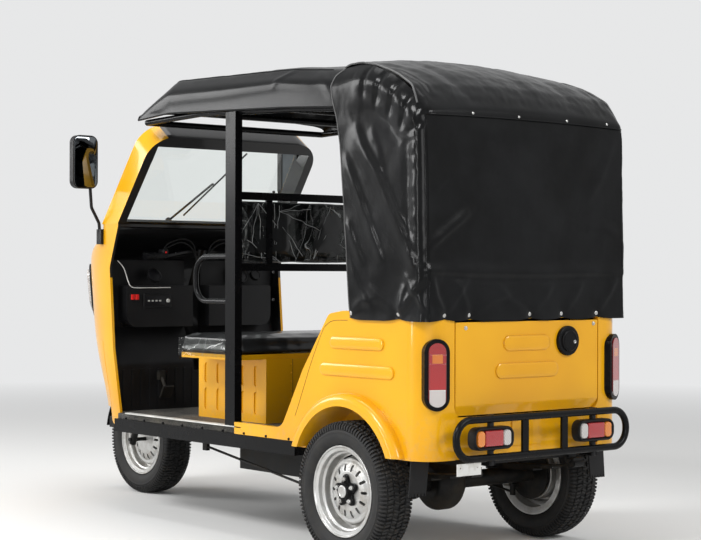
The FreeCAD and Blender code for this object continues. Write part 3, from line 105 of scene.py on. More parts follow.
# %% [markdown]
# ## Shader maths in plain Python
# A finish is a small network of nodes. Writing each sum as a node by hand is slow to read, so
# one class wraps a socket and lets Python's own operators add the Math nodes. Everything else,
# such as noise, steps and mixes, comes from one method that takes a node's type and settings.

# %% Shader helper
class Value:
    """One socket of a shader, which takes part in sums like a number."""

    def __init__(self, finish, socket):
        self.finish = finish
        self.socket = socket

    def sum(self, operation, *terms):
        return self.finish.node("ShaderNodeMath", {"operation": operation}, dict(enumerate(terms)))

    def __add__(self, other):
        return self.sum("ADD", self, other)

    def __sub__(self, other):
        return self.sum("SUBTRACT", self, other)

    def __rsub__(self, other):
        return self.sum("SUBTRACT", other, self)

    def __mul__(self, other):
        return self.sum("MULTIPLY", self, other)

    __radd__ = __add__
    __rmul__ = __mul__


class Finish:
    """A material in the making: its nodes, and the surface shader that they end in."""

    def __init__(self, name, **surface):
        self.material = bpy.data.materials.new(name)
        self.material.use_nodes = True
        self.tree = self.material.node_tree
        self.surface = self.tree.nodes["Principled BSDF"]
        self.set(**surface)

    def node(self, kind, settings=None, inputs=None, output=0):
        made = self.tree.nodes.new(kind)
        for key, setting in (settings or {}).items():
            setattr(made, key, setting)
        for key, value in (inputs or {}).items():
            self.feed(made.inputs[key], value)
        return Value(self, made.outputs[output])

    def feed(self, socket, value):
        if isinstance(value, Value):
            self.tree.links.new(value.socket, socket)
        elif hasattr(value, "__len__") and len(value) == 3 and socket.type == "RGBA":
            socket.default_value = (*value, 1.0)
        else:
            socket.default_value = value

    def set(self, **surface):
        """Feeds the surface shader; Base_Color in Python stands for the socket Base Color."""
        for key, value in surface.items():
            self.feed(self.surface.inputs[key.replace("_", " ")], value)

    def place(self):
        """Where on the vehicle a point is, in metres, since no piece has a scale of its own."""
        return self.node("ShaderNodeTexCoord", output="Object")

    def axis(self, letter):
        return self.node("ShaderNodeSeparateXYZ", {}, {0: self.place()}, "XYZ".index(letter))

    def facing(self):
        """The three parts of the way that the surface faces."""
        normal = self.node("ShaderNodeTexCoord", output="Normal")
        return [self.node("ShaderNodeSeparateXYZ", {}, {0: normal}, k) for k in range(3)]

    def noise(self, scale, detail=3.0, roughness=0.55, stretch=(1, 1, 1)):
        spot = self.node("ShaderNodeMapping", {}, {"Vector": self.place(), "Scale": stretch})
        return self.node("ShaderNodeTexNoise", {}, {"Vector": spot, "Scale": scale, "Detail": detail,
                                                    "Roughness": roughness})

    def cells(self, scale):
        return self.node("ShaderNodeTexVoronoi", {}, {"Vector": self.place(), "Scale": scale})

    def wave(self, value):
        return self.node("ShaderNodeMath", {"operation": "SINE"}, {0: value})

    def steps(self, value, low, high, to_low=0.0, to_high=1.0):
        return self.node("ShaderNodeMapRange", {}, {"Value": value, "From Min": low, "From Max": high,
                                                    "To Min": to_low, "To Max": to_high})

    def mix(self, factor, first, second):
        return self.node("ShaderNodeMix", {"data_type": "RGBA"}, {0: factor, 6: first, 7: second}, 2)

    def cover(self, factor, shader):
        """Mixes another shader over the surface, as much as the factor says."""
        surface = Value(self, self.surface.outputs[0])
        both = self.node("ShaderNodeMixShader", {}, {0: factor, 1: surface, 2: shader})
        self.tree.links.new(both.socket, self.tree.nodes["Material Output"].inputs["Surface"])

    def bump(self, height, strength, distance):
        normal = self.node("ShaderNodeBump", {}, {"Height": height, "Strength": strength,
                                                  "Distance": distance})
        self.set(Normal=normal)


print("shader helper ready")

# %% [markdown]
# ## Floor, backdrop and lamps
# A studio shot of a car stands on a pale sheet that runs on to the horizon. One large plane does
# that here, and far off it fades into the backdrop's colour, so no horizon shows. The world is a
# soft even light, and its pale colour is seen by the camera, in mirrors and through glass. Big
# soft lamps do most of the lighting, so that black cloth stays black between its highlights.

# %% Floor and world
FLOOR_COLOUR = (0.80, 0.80, 0.79)
FLOOR_REACH = 60.0
WORLD_LIGHT = 0.30
BACKDROP = (0.93, 0.935, 0.94)
BACKDROP_LIGHT = 0.86


def make_floor():
    mesh = bpy.data.meshes.new("studio_floor")
    edge = FLOOR_REACH
    mesh.from_pydata([(-edge, -edge, 0), (edge, -edge, 0), (edge, edge, 0), (-edge, edge, 0)], [],
                     [(0, 1, 2, 3)])
    floor = add_object("studio_floor", mesh)
    finish = Finish("studio_floor", Base_Color=FLOOR_COLOUR, Roughness=0.9)
    finish.surface.inputs["Specular IOR Level"].default_value = 0.1
    far = finish.node("ShaderNodeVectorMath", {"operation": "LENGTH"}, {0: finish.place()}, "Value")
    seen = finish.node("ShaderNodeLightPath", output="Is Camera Ray")
    for way in ("Is Glossy Ray", "Is Transmission Ray"):
        seen = seen.sum("MAXIMUM", seen, finish.node("ShaderNodeLightPath", output=way))
    glow = finish.node("ShaderNodeEmission", {}, {"Color": BACKDROP, "Strength": BACKDROP_LIGHT})
    finish.cover(finish.steps(far, 3.0, 9.5) * seen, glow)
    mesh.materials.append(finish.material)


def make_world():
    world = bpy.data.worlds.new("studio")
    bpy.context.scene.world = world
    world.use_nodes = True
    tree = world.node_tree
    background = tree.nodes["Background"]
    path = tree.nodes.new("ShaderNodeLightPath")
    seen = path.outputs["Is Camera Ray"]
    for way in ("Is Glossy Ray", "Is Transmission Ray"):
        either = tree.nodes.new("ShaderNodeMath")
        either.operation = "MAXIMUM"
        tree.links.new(seen, either.inputs[0])
        tree.links.new(path.outputs[way], either.inputs[1])
        seen = either.outputs[0]
    strength = tree.nodes.new("ShaderNodeMapRange")
    tree.links.new(seen, strength.inputs["Value"])
    strength.inputs["To Min"].default_value = WORLD_LIGHT
    strength.inputs["To Max"].default_value = BACKDROP_LIGHT
    background.inputs["Color"].default_value = (*BACKDROP, 1.0)
    tree.links.new(strength.outputs[0], background.inputs["Strength"])


make_floor()
make_world()
bpy.context.scene.view_settings.view_transform = "Standard"
print("floor and world ready")

# %% Lamps
# name, place x, y, z, aimed at x, y, z, width, height, watts
LAMPS = (
    ("key", (5.0, 0.6, 5.0), (0.0, 0.3, 0.9), 2.0, 1.4, 255.0),
    ("side_strip", (5.4, -0.5, 1.6), (0.4, 0.8, 1.2), 0.4, 2.0, 45.0),
    ("side_fill", (3.2, 5.4, 1.9), (0.2, 0.0, 0.8), 2.4, 1.6, 60.0),
    ("back_strip", (-1.6, 6.4, 4.4), (0.0, 0.9, 1.0), 4.0, 0.9, 190.0),
    ("top", (0.0, 0.2, 5.6), (0.0, 0.2, 0.0), 3.0, 4.0, 130.0),
    ("front_fill", (3.6, -5.2, 2.8), (0.0, -0.6, 0.9), 2.6, 2.0, 150.0),
)


def add_lamp(name, place, aim, width, height, watts):
    light = bpy.data.lights.new(name, "AREA")
    light.shape = "RECTANGLE"
    light.size = width
    light.size_y = height
    light.energy = watts
    lamp = add_object(name, light)
    away = Vector(aim) - Vector(place)
    lamp.matrix_world = Matrix.Translation(place) @ away.to_track_quat("-Z", "Y").to_matrix().to_4x4()


for row in LAMPS:
    add_lamp(*row)
print("lamps:", len(LAMPS))

# %% [markdown]
# ## Painted and metal finishes
# The body is pressed steel under gloss yellow enamel. Its colour hardly varies, but large random
# patches take a darker copy of the yellow, which is painted shade; a real panel also has a faint
# ripple that bends reflections, road dust low down, and a clear coat. The black steel is satin
# powder coat, with a fine orange peel and dull rubbed patches.

# %% Body paint
YELLOW = (0.78, 0.385, 0.004)
# a darker copy of the yellow, mixed in patches as painted shade
YELLOW_PAINTED_SHADE = (0.69, 0.320, 0.003)
# the middle of the cab that the nose's skin is judged from, below and above the dashboard
CAB_MIDDLE_Y = (-1.05, -0.62)
ROAD_DUST = (0.30, 0.26, 0.20)
CAB_BLACK = (0.010, 0.010, 0.011)
ENAMEL = {"Coat_Weight": 0.40, "Coat_Roughness": 0.06, "IOR": 1.5, "Specular_IOR_Level": 0.25}


def body_paint():
    paint = Finish("body_paint", **ENAMEL)
    painted_shade_patches = paint.noise(2.2, 2.0)
    # large random patches of the darker copy: painted shade
    colour = paint.mix(paint.steps(painted_shade_patches, 0.35, 0.65), YELLOW, YELLOW_PAINTED_SHADE)
    low = paint.steps(paint.axis("Z"), 0.62, 0.34)
    speck = paint.noise(38.0, 5.0, 0.7)
    dust = low * paint.steps(speck, 0.5, 0.72) * 0.35
    paint.set(Base_Color=paint.mix(dust, colour, ROAD_DUST))
    paint.set(Roughness=0.26 + dust * 0.6 + speck * 0.05)
    ripple = paint.noise(3.4, 1.0) * 0.8 + paint.noise(240.0, 1.0) * 0.02
    paint.bump(ripple, 0.22, 0.004)
    return paint.material


def cowl_paint():
    """Yellow outside; the nose's inner skin is black like the rest of the cab."""
    paint = Finish("cowl_paint", **ENAMEL)
    ways = paint.facing()
    middle = paint.steps(paint.axis("Z"), 0.97, 1.05, *CAB_MIDDLE_Y)
    outward = ways[0] * paint.axis("X") + ways[1] * (paint.axis("Y") - middle)
    outward = outward + ways[2] * (paint.axis("Z") - 0.80) * 0.15
    shown = paint.steps(outward, 0.00, 0.02)
    painted_shade_patches = paint.steps(paint.noise(2.2, 2.0), 0.35, 0.65)
    # large random patches of the darker copy: painted shade
    yellow = paint.mix(painted_shade_patches, YELLOW, YELLOW_PAINTED_SHADE)
    low = paint.steps(paint.axis("Z"), 0.62, 0.34)
    dust = low * paint.steps(paint.noise(38.0, 5.0, 0.7), 0.5, 0.72) * 0.3
    paint.set(Base_Color=paint.mix(shown, CAB_BLACK, paint.mix(dust, yellow, ROAD_DUST)))
    paint.set(Roughness=0.48 - shown * 0.20 + dust * 0.4)
    paint.bump(paint.noise(3.4, 1.0), 0.22, 0.004)
    return paint.material


def pillar_paint():
    """Yellow on the faces that point out or forward, and black on those that face the cab."""
    paint = Finish("pillar_paint", Coat_Weight=0.35, Coat_Roughness=0.07, IOR=1.5, Specular_IOR_Level=0.25)
    ways = paint.facing()
    outward = ways[0] * paint.node("ShaderNodeMath", {"operation": "SIGN"}, {0: paint.axis("X")})
    forward = ways[2] * 0.588 - ways[1] * 0.809
    facing = outward.sum("MAXIMUM", outward, forward)
    low = paint.steps(paint.axis("Z"), 0.905, 0.900)
    shown = paint.steps(facing.sum("MAXIMUM", facing, low), 0.30, 0.34)
    paint.set(Base_Color=paint.mix(shown, CAB_BLACK, YELLOW))
    paint.set(Roughness=0.42 - shown * 0.14)
    paint.bump(paint.noise(3.4, 1.0), 0.2, 0.003)
    return paint.material


def worn(name, patches, band, clean, dull, roughness, grain=None, **surface):
    """A finish that is duller in patches, with a grain made of cells or of noise."""
    finish = Finish(name, **surface)
    mask = finish.steps(finish.noise(*patches), *band)
    finish.set(Base_Color=finish.mix(mask, clean, dull))
    finish.set(Roughness=roughness[0] + mask * roughness[1])
    if grain:
        kind, settings, strength, distance = grain
        finish.bump(kind(finish, *settings), strength, distance)
    return finish.material


def satin_black():
    coat = Finish("satin_black", Specular_IOR_Level=0.12)
    rub = coat.steps(coat.noise(11.0, 6.0, 0.65), 0.54, 0.78)
    coat.set(Base_Color=coat.mix(rub * 0.4, (0.0035, 0.0035, 0.004), (0.012, 0.0115, 0.011)))
    coat.set(Roughness=0.27 + rub * 0.12)
    coat.bump(coat.noise(420.0, 2.0), 0.12, 0.0005)
    return coat.material


def under_black():
    return worn("under_black", (9.0, 6.0, 0.7), (0.45, 0.70), (0.006, 0.006, 0.006), (0.032, 0.028, 0.022),
                (0.45, 0.35), (Finish.noise, (160.0, 4.0), 0.4, 0.0015), Specular_IOR_Level=0.18)


print("paints ready")

# %% [markdown]
# ## Plastic, rubber and cloth finishes
# Moulded plastic has a leather-like grain that Voronoi cells give well. The canopy is coated
# cloth: nearly black, with a soft shine that changes where it was folded, and a fine pebble.

# %% Plastic, rubber and vinyl


def grained_plastic(name="grained_plastic", colour=(0.006, 0.006, 0.0065)):
    return worn(name, (7.0, 4.0), (0.4, 0.7), colour, tuple(c * 1.7 for c in colour),
                (0.38, 0.16), (Finish.cells, (520.0,), 0.35, 0.0007), Specular_IOR_Level=0.20)


def canopy_vinyl():
    cloth = Finish("canopy_vinyl", Coat_Weight=0.20, Coat_Roughness=0.15, Specular_IOR_Level=0.05)
    patch = cloth.noise(3.5, 5.0, 0.6)
    dull = cloth.steps(patch, 0.42, 0.66)
    cloth.set(Base_Color=cloth.mix(dull, (0.0016, 0.0017, 0.0019), (0.0045, 0.0048, 0.0054)))
    cloth.set(Roughness=0.28 + dull * 0.10)
    pebble = cloth.cells(620.0) * 0.3
    crinkle = cloth.noise(26.0, 3.0, 0.5, (1.0, 1.0, 0.7)) * 0.9
    cloth.bump(pebble + crinkle, 0.4, 0.0012)
    return cloth.material


def floor_mat():
    """Ribbed rubber with pale flecks and tracked-in dust."""
    mat = Finish("floor_mat", Specular_IOR_Level=0.35)
    fleck = mat.steps(mat.noise(420.0, 2.0, 0.8), 0.60, 0.66)
    dusty = mat.steps(mat.noise(7.0, 5.0, 0.7), 0.44, 0.70)
    base = mat.mix(dusty, (0.030, 0.030, 0.029), (0.13, 0.12, 0.10))
    mat.set(Base_Color=mat.mix(fleck, base, (0.42, 0.40, 0.36)))
    mat.set(Roughness=0.62 + dusty * 0.25)
    mat.bump(mat.wave(mat.axis("X") * 520.0) + mat.noise(300.0) * 0.6, 0.4, 0.0012)
    return mat.material


def soft_vinyl():
    return worn("seat_vinyl", (5.0, 4.0), (0.4, 0.7), (0.006, 0.0065, 0.007), (0.014, 0.015, 0.016),
                (0.34, 0.12), (Finish.cells, (480.0,), 0.3, 0.0006),
                Coat_Weight=0.40, Coat_Roughness=0.10, Specular_IOR_Level=0.20)


def tyre_rubber():
    return worn("tyre_rubber", (24.0, 6.0, 0.7), (0.45, 0.75), (0.008, 0.008, 0.0085), (0.032, 0.030, 0.027),
                (0.62, 0.25), (Finish.noise, (300.0, 4.0), 0.35, 0.0008), Specular_IOR_Level=0.35)


print("plastics and cloth ready")

# %% [markdown]
# ## Wheels, lamps and glass
# The wheels are silver lacquer over steel: part metal, part paint. A lamp lens is clear plastic
# dyed red or amber, with rows of small prisms inside that break up the light. Those prisms are
# a bump from a grid of waves. Glass is left perfectly clear, with a faint green tint.

# %% Silver, lenses and glass


def wheel_silver():
    return worn("wheel_silver", (16.0, 6.0, 0.7), (0.44, 0.74), (0.50, 0.50, 0.49), (0.30, 0.28, 0.25),
                (0.30, 0.28), (Finish.noise, (260.0, 2.0), 0.2, 0.0005),
                Metallic=0.75, Coat_Weight=0.3, Coat_Roughness=0.15)


def lens(name, colour):
    plastic = Finish(name, Roughness=0.08, Coat_Weight=1.0, Coat_Roughness=0.03, IOR=1.49)
    across = plastic.wave(plastic.axis("X") * 700.0)
    up = plastic.wave(plastic.axis("Z") * 520.0)
    # the prism grid also darkens the colour toward a darker copy of it: painted shade on the prisms
    shade = plastic.steps(across * up, -0.8, 0.9)
    plastic.set(Base_Color=plastic.mix(shade * 0.6, colour, tuple(c * 0.35 for c in colour)))
    plastic.bump(across * up, 0.45, 0.0014)
    return plastic.material


def clear_glass():
    glass = Finish("clear_glass", Base_Color=(0.93, 0.97, 0.95), Roughness=0.0, IOR=1.45,
                   Transmission_Weight=1.0)
    return glass.material


def blank_plate():
    return worn("blank_plate", (30.0, 5.0), (0.5, 0.8), (0.62, 0.62, 0.60), (0.40, 0.38, 0.34),
                (0.35, 0.3))


PAINT = body_paint()
PILLAR = pillar_paint()
COWL = cowl_paint()
BLACK = satin_black()
UNDER = under_black()
PLASTIC = grained_plastic()
VINYL = canopy_vinyl()
SEAT = soft_vinyl()
MAT = floor_mat()
RUBBER = tyre_rubber()
SILVER = wheel_silver()
RED_LENS = lens("red_lens", (0.42, 0.007, 0.010))
CLEAR_LENS = lens("clear_lens", (0.62, 0.58, 0.55))
AMBER_LENS = lens("amber_lens", (0.80, 0.24, 0.015))
GLASS = clear_glass()
PLATE = blank_plate()
print("finishes:", len(bpy.data.materials))

# %% [markdown]
# ## Dressing the solids
# Each solid that stays visible keeps its shape and gets one of these finishes. The table names
# the finish once, with the solids that wear it.

# %% Finishes for the solids
WEARS = (
    (PAINT, ("seat_box", "rear_body", "tailgate")),
    (COWL, ("front_cowl",)),
    (MAT, ("floor_pan",)),
    (PILLAR, ("windshield_frame",)),
    (BLACK, ("roof_frame", "backrest_frame", "armrests", "bumper", "passenger_seat_base", "sills",
             "handlebar", "lock_cap", "tail_lamp_bezels")),
    (UNDER, ("chassis_frame", "rear_axle", "drive_motor", "leaf_springs", "foot_brake", "front_fork",
             "battery_box")),
    (PLASTIC, ("dashboard", "headlamp_housings", "mirrors", "wiper", "front_mudguard",
               "bumper_lamps", "mud_flaps")),
    (VINYL, ("roof_cover_front", "roof_cover_rear", "rear_curtain")),
    (SEAT, ("driver_cushion", "driver_backrest", "passenger_cushion", "passenger_backrest")),
    (RUBBER, ("rear_left_tyre", "rear_right_tyre", "front_tyre")),
    (SILVER, ("rear_left_wheel", "rear_right_wheel", "front_wheel")),
    (RED_LENS, ("tail_lamp_lenses",)),
    (CLEAR_LENS, ("headlamp_lenses",)),
    (GLASS, ("windshield",)),
    (PLATE, ("rear_plate",)),
)


def dress(node, finish):
    mesh = bpy.data.objects[node].data
    mesh.materials.clear()
    mesh.materials.append(finish)


for finish, nodes in WEARS:
    for node in nodes:
        dress(node, finish)
print("solids dressed:", sum(len(nodes) for _, nodes in WEARS))

# %% [markdown]
# ## Tools for making shapes
# Most of what follows is a row of rings joined into a skin: a tube is rings along a path, a
# tyre is rings about an axle, and a moulded button is rings that shrink as they rise. So one
# small class gathers rings into faces and hands over a finished piece that rides on a body.

# %% Shape builder
X, Y, Z = Vector((1, 0, 0)), Vector((0, 1, 0)), Vector((0, 0, 1))


class Build:
    """Gathers the faces of one piece; each part of it may wear its own finish."""

    def __init__(self):
        self.mesh = bmesh.new()

    def loft(self, rings, loop=False, wear=0):
        rows = [[self.mesh.verts.new(p) for p in ring] for ring in rings]
        count = len(rows[0])
        pairs = list(zip(rows, rows[1:])) + ([(rows[-1], rows[0])] if loop else [])
        made = []
        for first, second in pairs:
            for i in range(count):
                j = (i + 1) % count
                made.append(self.mesh.faces.new((first[i], first[j], second[j], second[i])))
        if not loop:
            made.append(self.mesh.faces.new(rows[0][::-1]))
            made.append(self.mesh.faces.new(rows[-1]))
        for face in made:
            face.material_index = wear

    def tube(self, path, radius, sides=12, wear=0):
        """A round bar along a path."""
        last = len(path) - 1
        tangents = [(path[min(i + 1, last)] - path[max(i - 1, 0)]).normalized() for i in range(last + 1)]
        side = tangents[0].orthogonal().normalized()
        rings = []
        for i, (spot, along) in enumerate(zip(path, tangents)):
            if i:
                side = tangents[i - 1].rotation_difference(along) @ side
            other = along.cross(side)
            turns = [2 * math.pi * k / sides for k in range(sides)]
            rings.append([spot + (side * math.cos(t) + other * math.sin(t)) * radius for t in turns])
        self.loft(rings, wear=wear)

    def turned(self, profile, centre, axis=X, steps=64, wear=0):
        """A profile of distance along the axis and radius, turned all the way round."""
        side = axis.orthogonal().normalized()
        other = axis.cross(side)
        rings = []
        for k in range(steps):
            turn = 2 * math.pi * k / steps
            away = side * math.cos(turn) + other * math.sin(turn)
            rings.append([centre + axis * along + away * r for along, r in profile])
        self.loft(rings, loop=True, wear=wear)

    def boss(self, centre, across, up, width, height, bend, layers, wear=0, steps=6):
        """A rounded button or plate; layers are how much each ring grows, and how far out it is."""
        out = across.cross(up).normalized()
        rings = []
        for grow, rise in layers:
            ring = rounded_box(width + 2 * grow, height + 2 * grow, max(bend + grow, 0.0002), steps)
            rings.append([centre + across * a + up * b + out * rise for a, b in ring])
        self.loft(rings, wear=wear)

    def piece(self, name, finishes, body="root", sharp=38.0):
        """Ends the piece: outward faces, soft shading with crisp edges, finishes and body."""
        bmesh.ops.recalc_face_normals(self.mesh, faces=self.mesh.faces)
        limit = math.radians(sharp)
        for face in self.mesh.faces:
            face.smooth = True
        for edge in self.mesh.edges:
            if len(edge.link_faces) == 2 and edge.calc_face_angle(0.0) > limit:
                edge.smooth = False
        mesh = bpy.data.meshes.new(name)
        self.mesh.to_mesh(mesh)
        self.mesh.free()
        for finish in finishes:
            mesh.materials.append(finish)
        piece = add_object(name, mesh)
        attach(piece, body)
        return piece


def rounded_box(width, height, bend, steps=6):
    """Points of a rounded rectangle about 0, 0, anticlockwise."""
    bend = min(bend, width / 2, height / 2)
    points = []
    for quarter, (sx, sy) in enumerate(((1, 1), (-1, 1), (-1, -1), (1, -1))):
        for k in range(steps + 1):
            turn = math.pi / 2 * (quarter + k / steps)
            points.append((sx * (width / 2 - bend) + math.cos(turn) * bend,
                           sy * (height / 2 - bend) + math.sin(turn) * bend))
    return points


def through(points, steps=6):
    """A smooth path through the points."""
    points = [Vector(p) for p in points]
    last = len(points) - 1
    path = []
    for i in range(last):
        a, b, c, d = (points[min(max(i + k, 0), last)] for k in (-1, 0, 1, 2))
        for k in range(steps):
            t = k / steps
            path.append(0.5 * ((2 * b) + (c - a) * t + (2 * a - 5 * b + 4 * c - d) * t * t
                               + (3 * b - a - 3 * c + d) * t * t * t))
    path.append(points[-1])
    return path


def softly(value, low, high):
    """0 below low, 1 above high, and a smooth rise between."""
    t = min(max((value - low) / (high - low), 0.0), 1.0)
    return t * t * (3 - 2 * t)


print("shape builder ready")

# %% [markdown]
# ## Tyres
# The real tyre has a smooth casing with rings on its wall, four rows of tread blocks and a row
# of narrow bars on each shoulder. The casing is one turned profile. Each block is a small
# tapered solid, placed by a loop, so the tread is true geometry and its grooves throw shadows.

# %% Tyre shape
TREAD_DEPTH = 0.008
PITCHES = 52
# middle across the tyre, width, length along the tread, slant, and shift in pitches
TREAD_ROWS = (
    (-0.0395, 0.0200, 0.0215, 0.0050, 0.00),
    (-0.0135, 0.0190, 0.0190, -0.0060, 0.45),
    (0.0135, 0.0190, 0.0190, 0.0060, 0.95),
    (0.0395, 0.0200, 0.0215, -0.0050, 0.50),
)
SIPE = 0.0014
BARS_PER_PITCH = 2


def crown(x):
    """The tread's radius at a distance across the tyre."""
    return TYRE_R - 0.0002 - 0.0045 * softly(abs(x), 0.036, 0.066) - 0.02 * softly(abs(x), 0.055, 0.075)


def casing_profile():
    half = TYRE_W / 2
    low = TREAD_DEPTH
    side = [(0.0495, 0.1660), (0.0560, 0.1685), (0.0600, 0.1740), (half - 0.0095, 0.1760),
            (half - 0.0050, 0.1820), (half - 0.0012, 0.1950), (half - 0.0004, 0.2060),
            (half - 0.0012, 0.2125), (half - 0.0006, 0.2135), (half - 0.0006, 0.2150),
            (half - 0.0018, 0.2160), (half - 0.0050, 0.2290), (half - 0.0085, 0.2380),
            (half - 0.0160, crown(0.058) - low), (0.040, crown(0.04) - low), (0.014, crown(0) - low)]
    outer = [(-x, r) for x, r in side] + [(x, r) for x, r in reversed(side)]
    return outer + [(0.0495, 0.1530), (-0.0495, 0.1530)]


def tread_block(build, centre, corners, height):
    """One block: corners are distance along the tread and across; its top is a little smaller."""
    middle_s = sum(s for s, _ in corners) / len(corners)
    middle_x = sum(x for _, x in corners) / len(corners)
    rings = []
    for shrink, drop in ((1.06, height), (1.0, 0.0012), (0.90, 0.0)):
        ring = []
        for s, x in corners:
            s = middle_s + (s - middle_s) * shrink
            x = middle_x + (x - middle_x) * shrink
            r = crown(x) - drop
            turn = s / TYRE_R
            ring.append(centre + Vector((x, math.cos(turn) * r, math.sin(turn) * r)))
        rings.append(ring)
    build.loft(rings)


def shoulder_bar(build, centre, s, side):
    """A narrow bar that runs from the tread's edge down the shoulder of the wall."""
    wide = 0.0042
    rings = []
    for x, r, out in ((0.0555, 0.2490, 0.0008), (0.0640, 0.2455, 0.0012), (0.0695, 0.2370, 0.0016),
                      (0.0712, 0.2250, 0.0008)):
        ring = []
        for ds, lift in ((-wide, -0.004), (-wide * 0.8, out), (wide * 0.8, out), (wide, -0.004)):
            turn = (s + ds) / TYRE_R
            radius = r + lift * 0.6
            ring.append(centre + Vector((side * min(x + lift * 0.8, TYRE_W / 2 - 0.0001),
                                         math.cos(turn) * radius, math.sin(turn) * radius)))
        rings.append(ring)
    build.loft(rings)


def dress_tyre(node, body):
    low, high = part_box(node)
    centre = (low + high) / 2
    build = Build()
    build.turned(casing_profile(), centre, steps=120)
    pitch = 2 * math.pi * TYRE_R / PITCHES
    for k in range(PITCHES):
        for middle, width, length, slant, shift in TREAD_ROWS:
            start = (k + shift) * pitch
            for low_share, high_share in ((0.0, 0.5 - SIPE / length), (0.5 + SIPE / length, 1.0)):
                a, b = start + length * low_share, start + length * high_share
                corners = [(a - slant / 2, middle - width / 2), (b - slant / 2, middle - width / 2),
                           (b + slant / 2, middle + width / 2), (a + slant / 2, middle + width / 2)]
                tread_block(build, centre, corners, TREAD_DEPTH)
        for n in range(BARS_PER_PITCH):
            for side in (-1, 1):
                shoulder_bar(build, centre, (k + n / BARS_PER_PITCH) * pitch, side)
    piece = build.piece(node + "_tread", [RUBBER], body)
    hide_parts(node)
    return piece


TYRES = (("rear_left_tyre", "rear_left_wheel"), ("rear_right_tyre", "rear_right_wheel"),
         ("front_tyre", "front_wheel"))
for node, body in TYRES:
    made = dress_tyre(node, body)
    print(made.name, len(made.data.polygons), "faces")

# %% [markdown]
# ## Hubs
# The silver wheel is pressed and welded, so its solid keeps its form. What the hub adds is a
# black cover with five lobes, a nut in each, a bright cap, and a valve in the rim. The cover is
# a star-shaped outline drawn at a few heights, because its lobes fade into a round boss.

# %% Hubs and wheel nuts
NUT_CIRCLE_R = 0.043
NUTS = 5
# how far the first nut stands from the front, as a share of the step between nuts
NUT_START = 0.3


def hex_nut(build, centre, out, size, height, wear):
    side = out.orthogonal().normalized()
    other = out.cross(side)
    rings = []
    for share, rise in ((1.0, 0.0), (1.0, height * 0.8), (0.8, height)):
        turns = [math.pi / 3 * k for k in range(6)]
        rings.append([centre + out * rise + (side * math.cos(t) + other * math.sin(t)) * size * share
                      for t in turns])
    build.loft(rings, wear=wear)


def dress_hub(name, body, centre, out, base):
    """The hub's black cover, with nuts, a stud in each and a domed bright cap."""
    build = Build()
    face = centre + out * base
    rings = []
    for rise, radius, lobe in ((0.0, 0.050, 0.012), (0.008, 0.050, 0.012), (0.0105, 0.047, 0.011),
                               (0.0112, 0.036, 0.003), (0.022, 0.030, 0.0), (0.023, 0.024, 0.0)):
        ring = []
        for k in range(60):
            turn = 2 * math.pi * k / 60
            r = radius + lobe * math.cos(NUTS * (turn - 2 * math.pi * NUT_START / NUTS))
            ring.append(face + (Y * math.cos(turn) + Z * math.sin(turn)) * r + out * rise)
        rings.append(ring)
    build.loft(rings)
    for k in range(NUTS):
        turn = 2 * math.pi * (k + NUT_START) / NUTS
        spot = face + (Y * math.cos(turn) + Z * math.sin(turn)) * NUT_CIRCLE_R + out * 0.0105
        hex_nut(build, spot, out, 0.0085, 0.009, 1)
        build.turned([(0.0, 0.0002), (0.0, 0.004), (0.013, 0.004), (0.014, 0.0002)], spot, out, 10, wear=1)
    cap = [(0.014, 0.0002), (0.014, 0.0225), (0.026, 0.0225), (0.0275, 0.0205), (0.0275, 0.017),
           (0.0262, 0.0155), (0.0262, 0.0002)]
    build.turned(cap, face, out, 32, wear=1)
    stem = centre + Z * 0.128 + out * 0.012
    build.tube([stem, stem + out * 0.018 - Z * 0.004, stem + out * 0.034 - Z * 0.010], 0.0032, 10)
    piece = build.piece(name, [BLACK, SILVER], body)
    return piece


# name, body, centre, which way the wheel's open face points, distance of the hub's face
WHEEL_SPOTS = (
    ("rear_left_hub", "rear_left_wheel", Vector((WHEEL_X, AXLE_Y, TYRE_R)), X, 0.0325),
    ("rear_right_hub", "rear_right_wheel", Vector((-WHEEL_X, AXLE_Y, TYRE_R)), -X, 0.0325),
)
for row in WHEEL_SPOTS:
    print(dress_hub(*row).name, "made")

# %% [markdown]
# ## The canopy
# Three pieces of coated cloth cover the frame: a front roof, a hood and a curtain that hangs
# round the back. A bought canopy is cut flat, sewn along piped seams and pulled over hoops, so
# its folds start where it is pulled: at the snaps, at the seam and round the corner. Each piece
# here is a fine grid laid on the solid's surface. A chart of heights over that grid then holds
# the folds, each written as a short path, since a chart gives folds exactly where they are seen.
# No pattern is cut and draped here. The flat size given for each sheet is measured afterwards on
# the laid cloth: its longest row, its longest column and the area of its front. Cloth hardly
# stretches, so that is about what the surface would unroll to, and not a tailor's pattern.

# %% Cloth tools
import numpy as np

MM = 0.001
CLOTH_THICKNESS = 0.0012
RIPPLE_WAVES = 9


def rise(value, span, least=0.0):
    """A straight ramp: least at 0 and below, and 1 at the span and above."""
    return np.clip(value / span, least, 1.0)


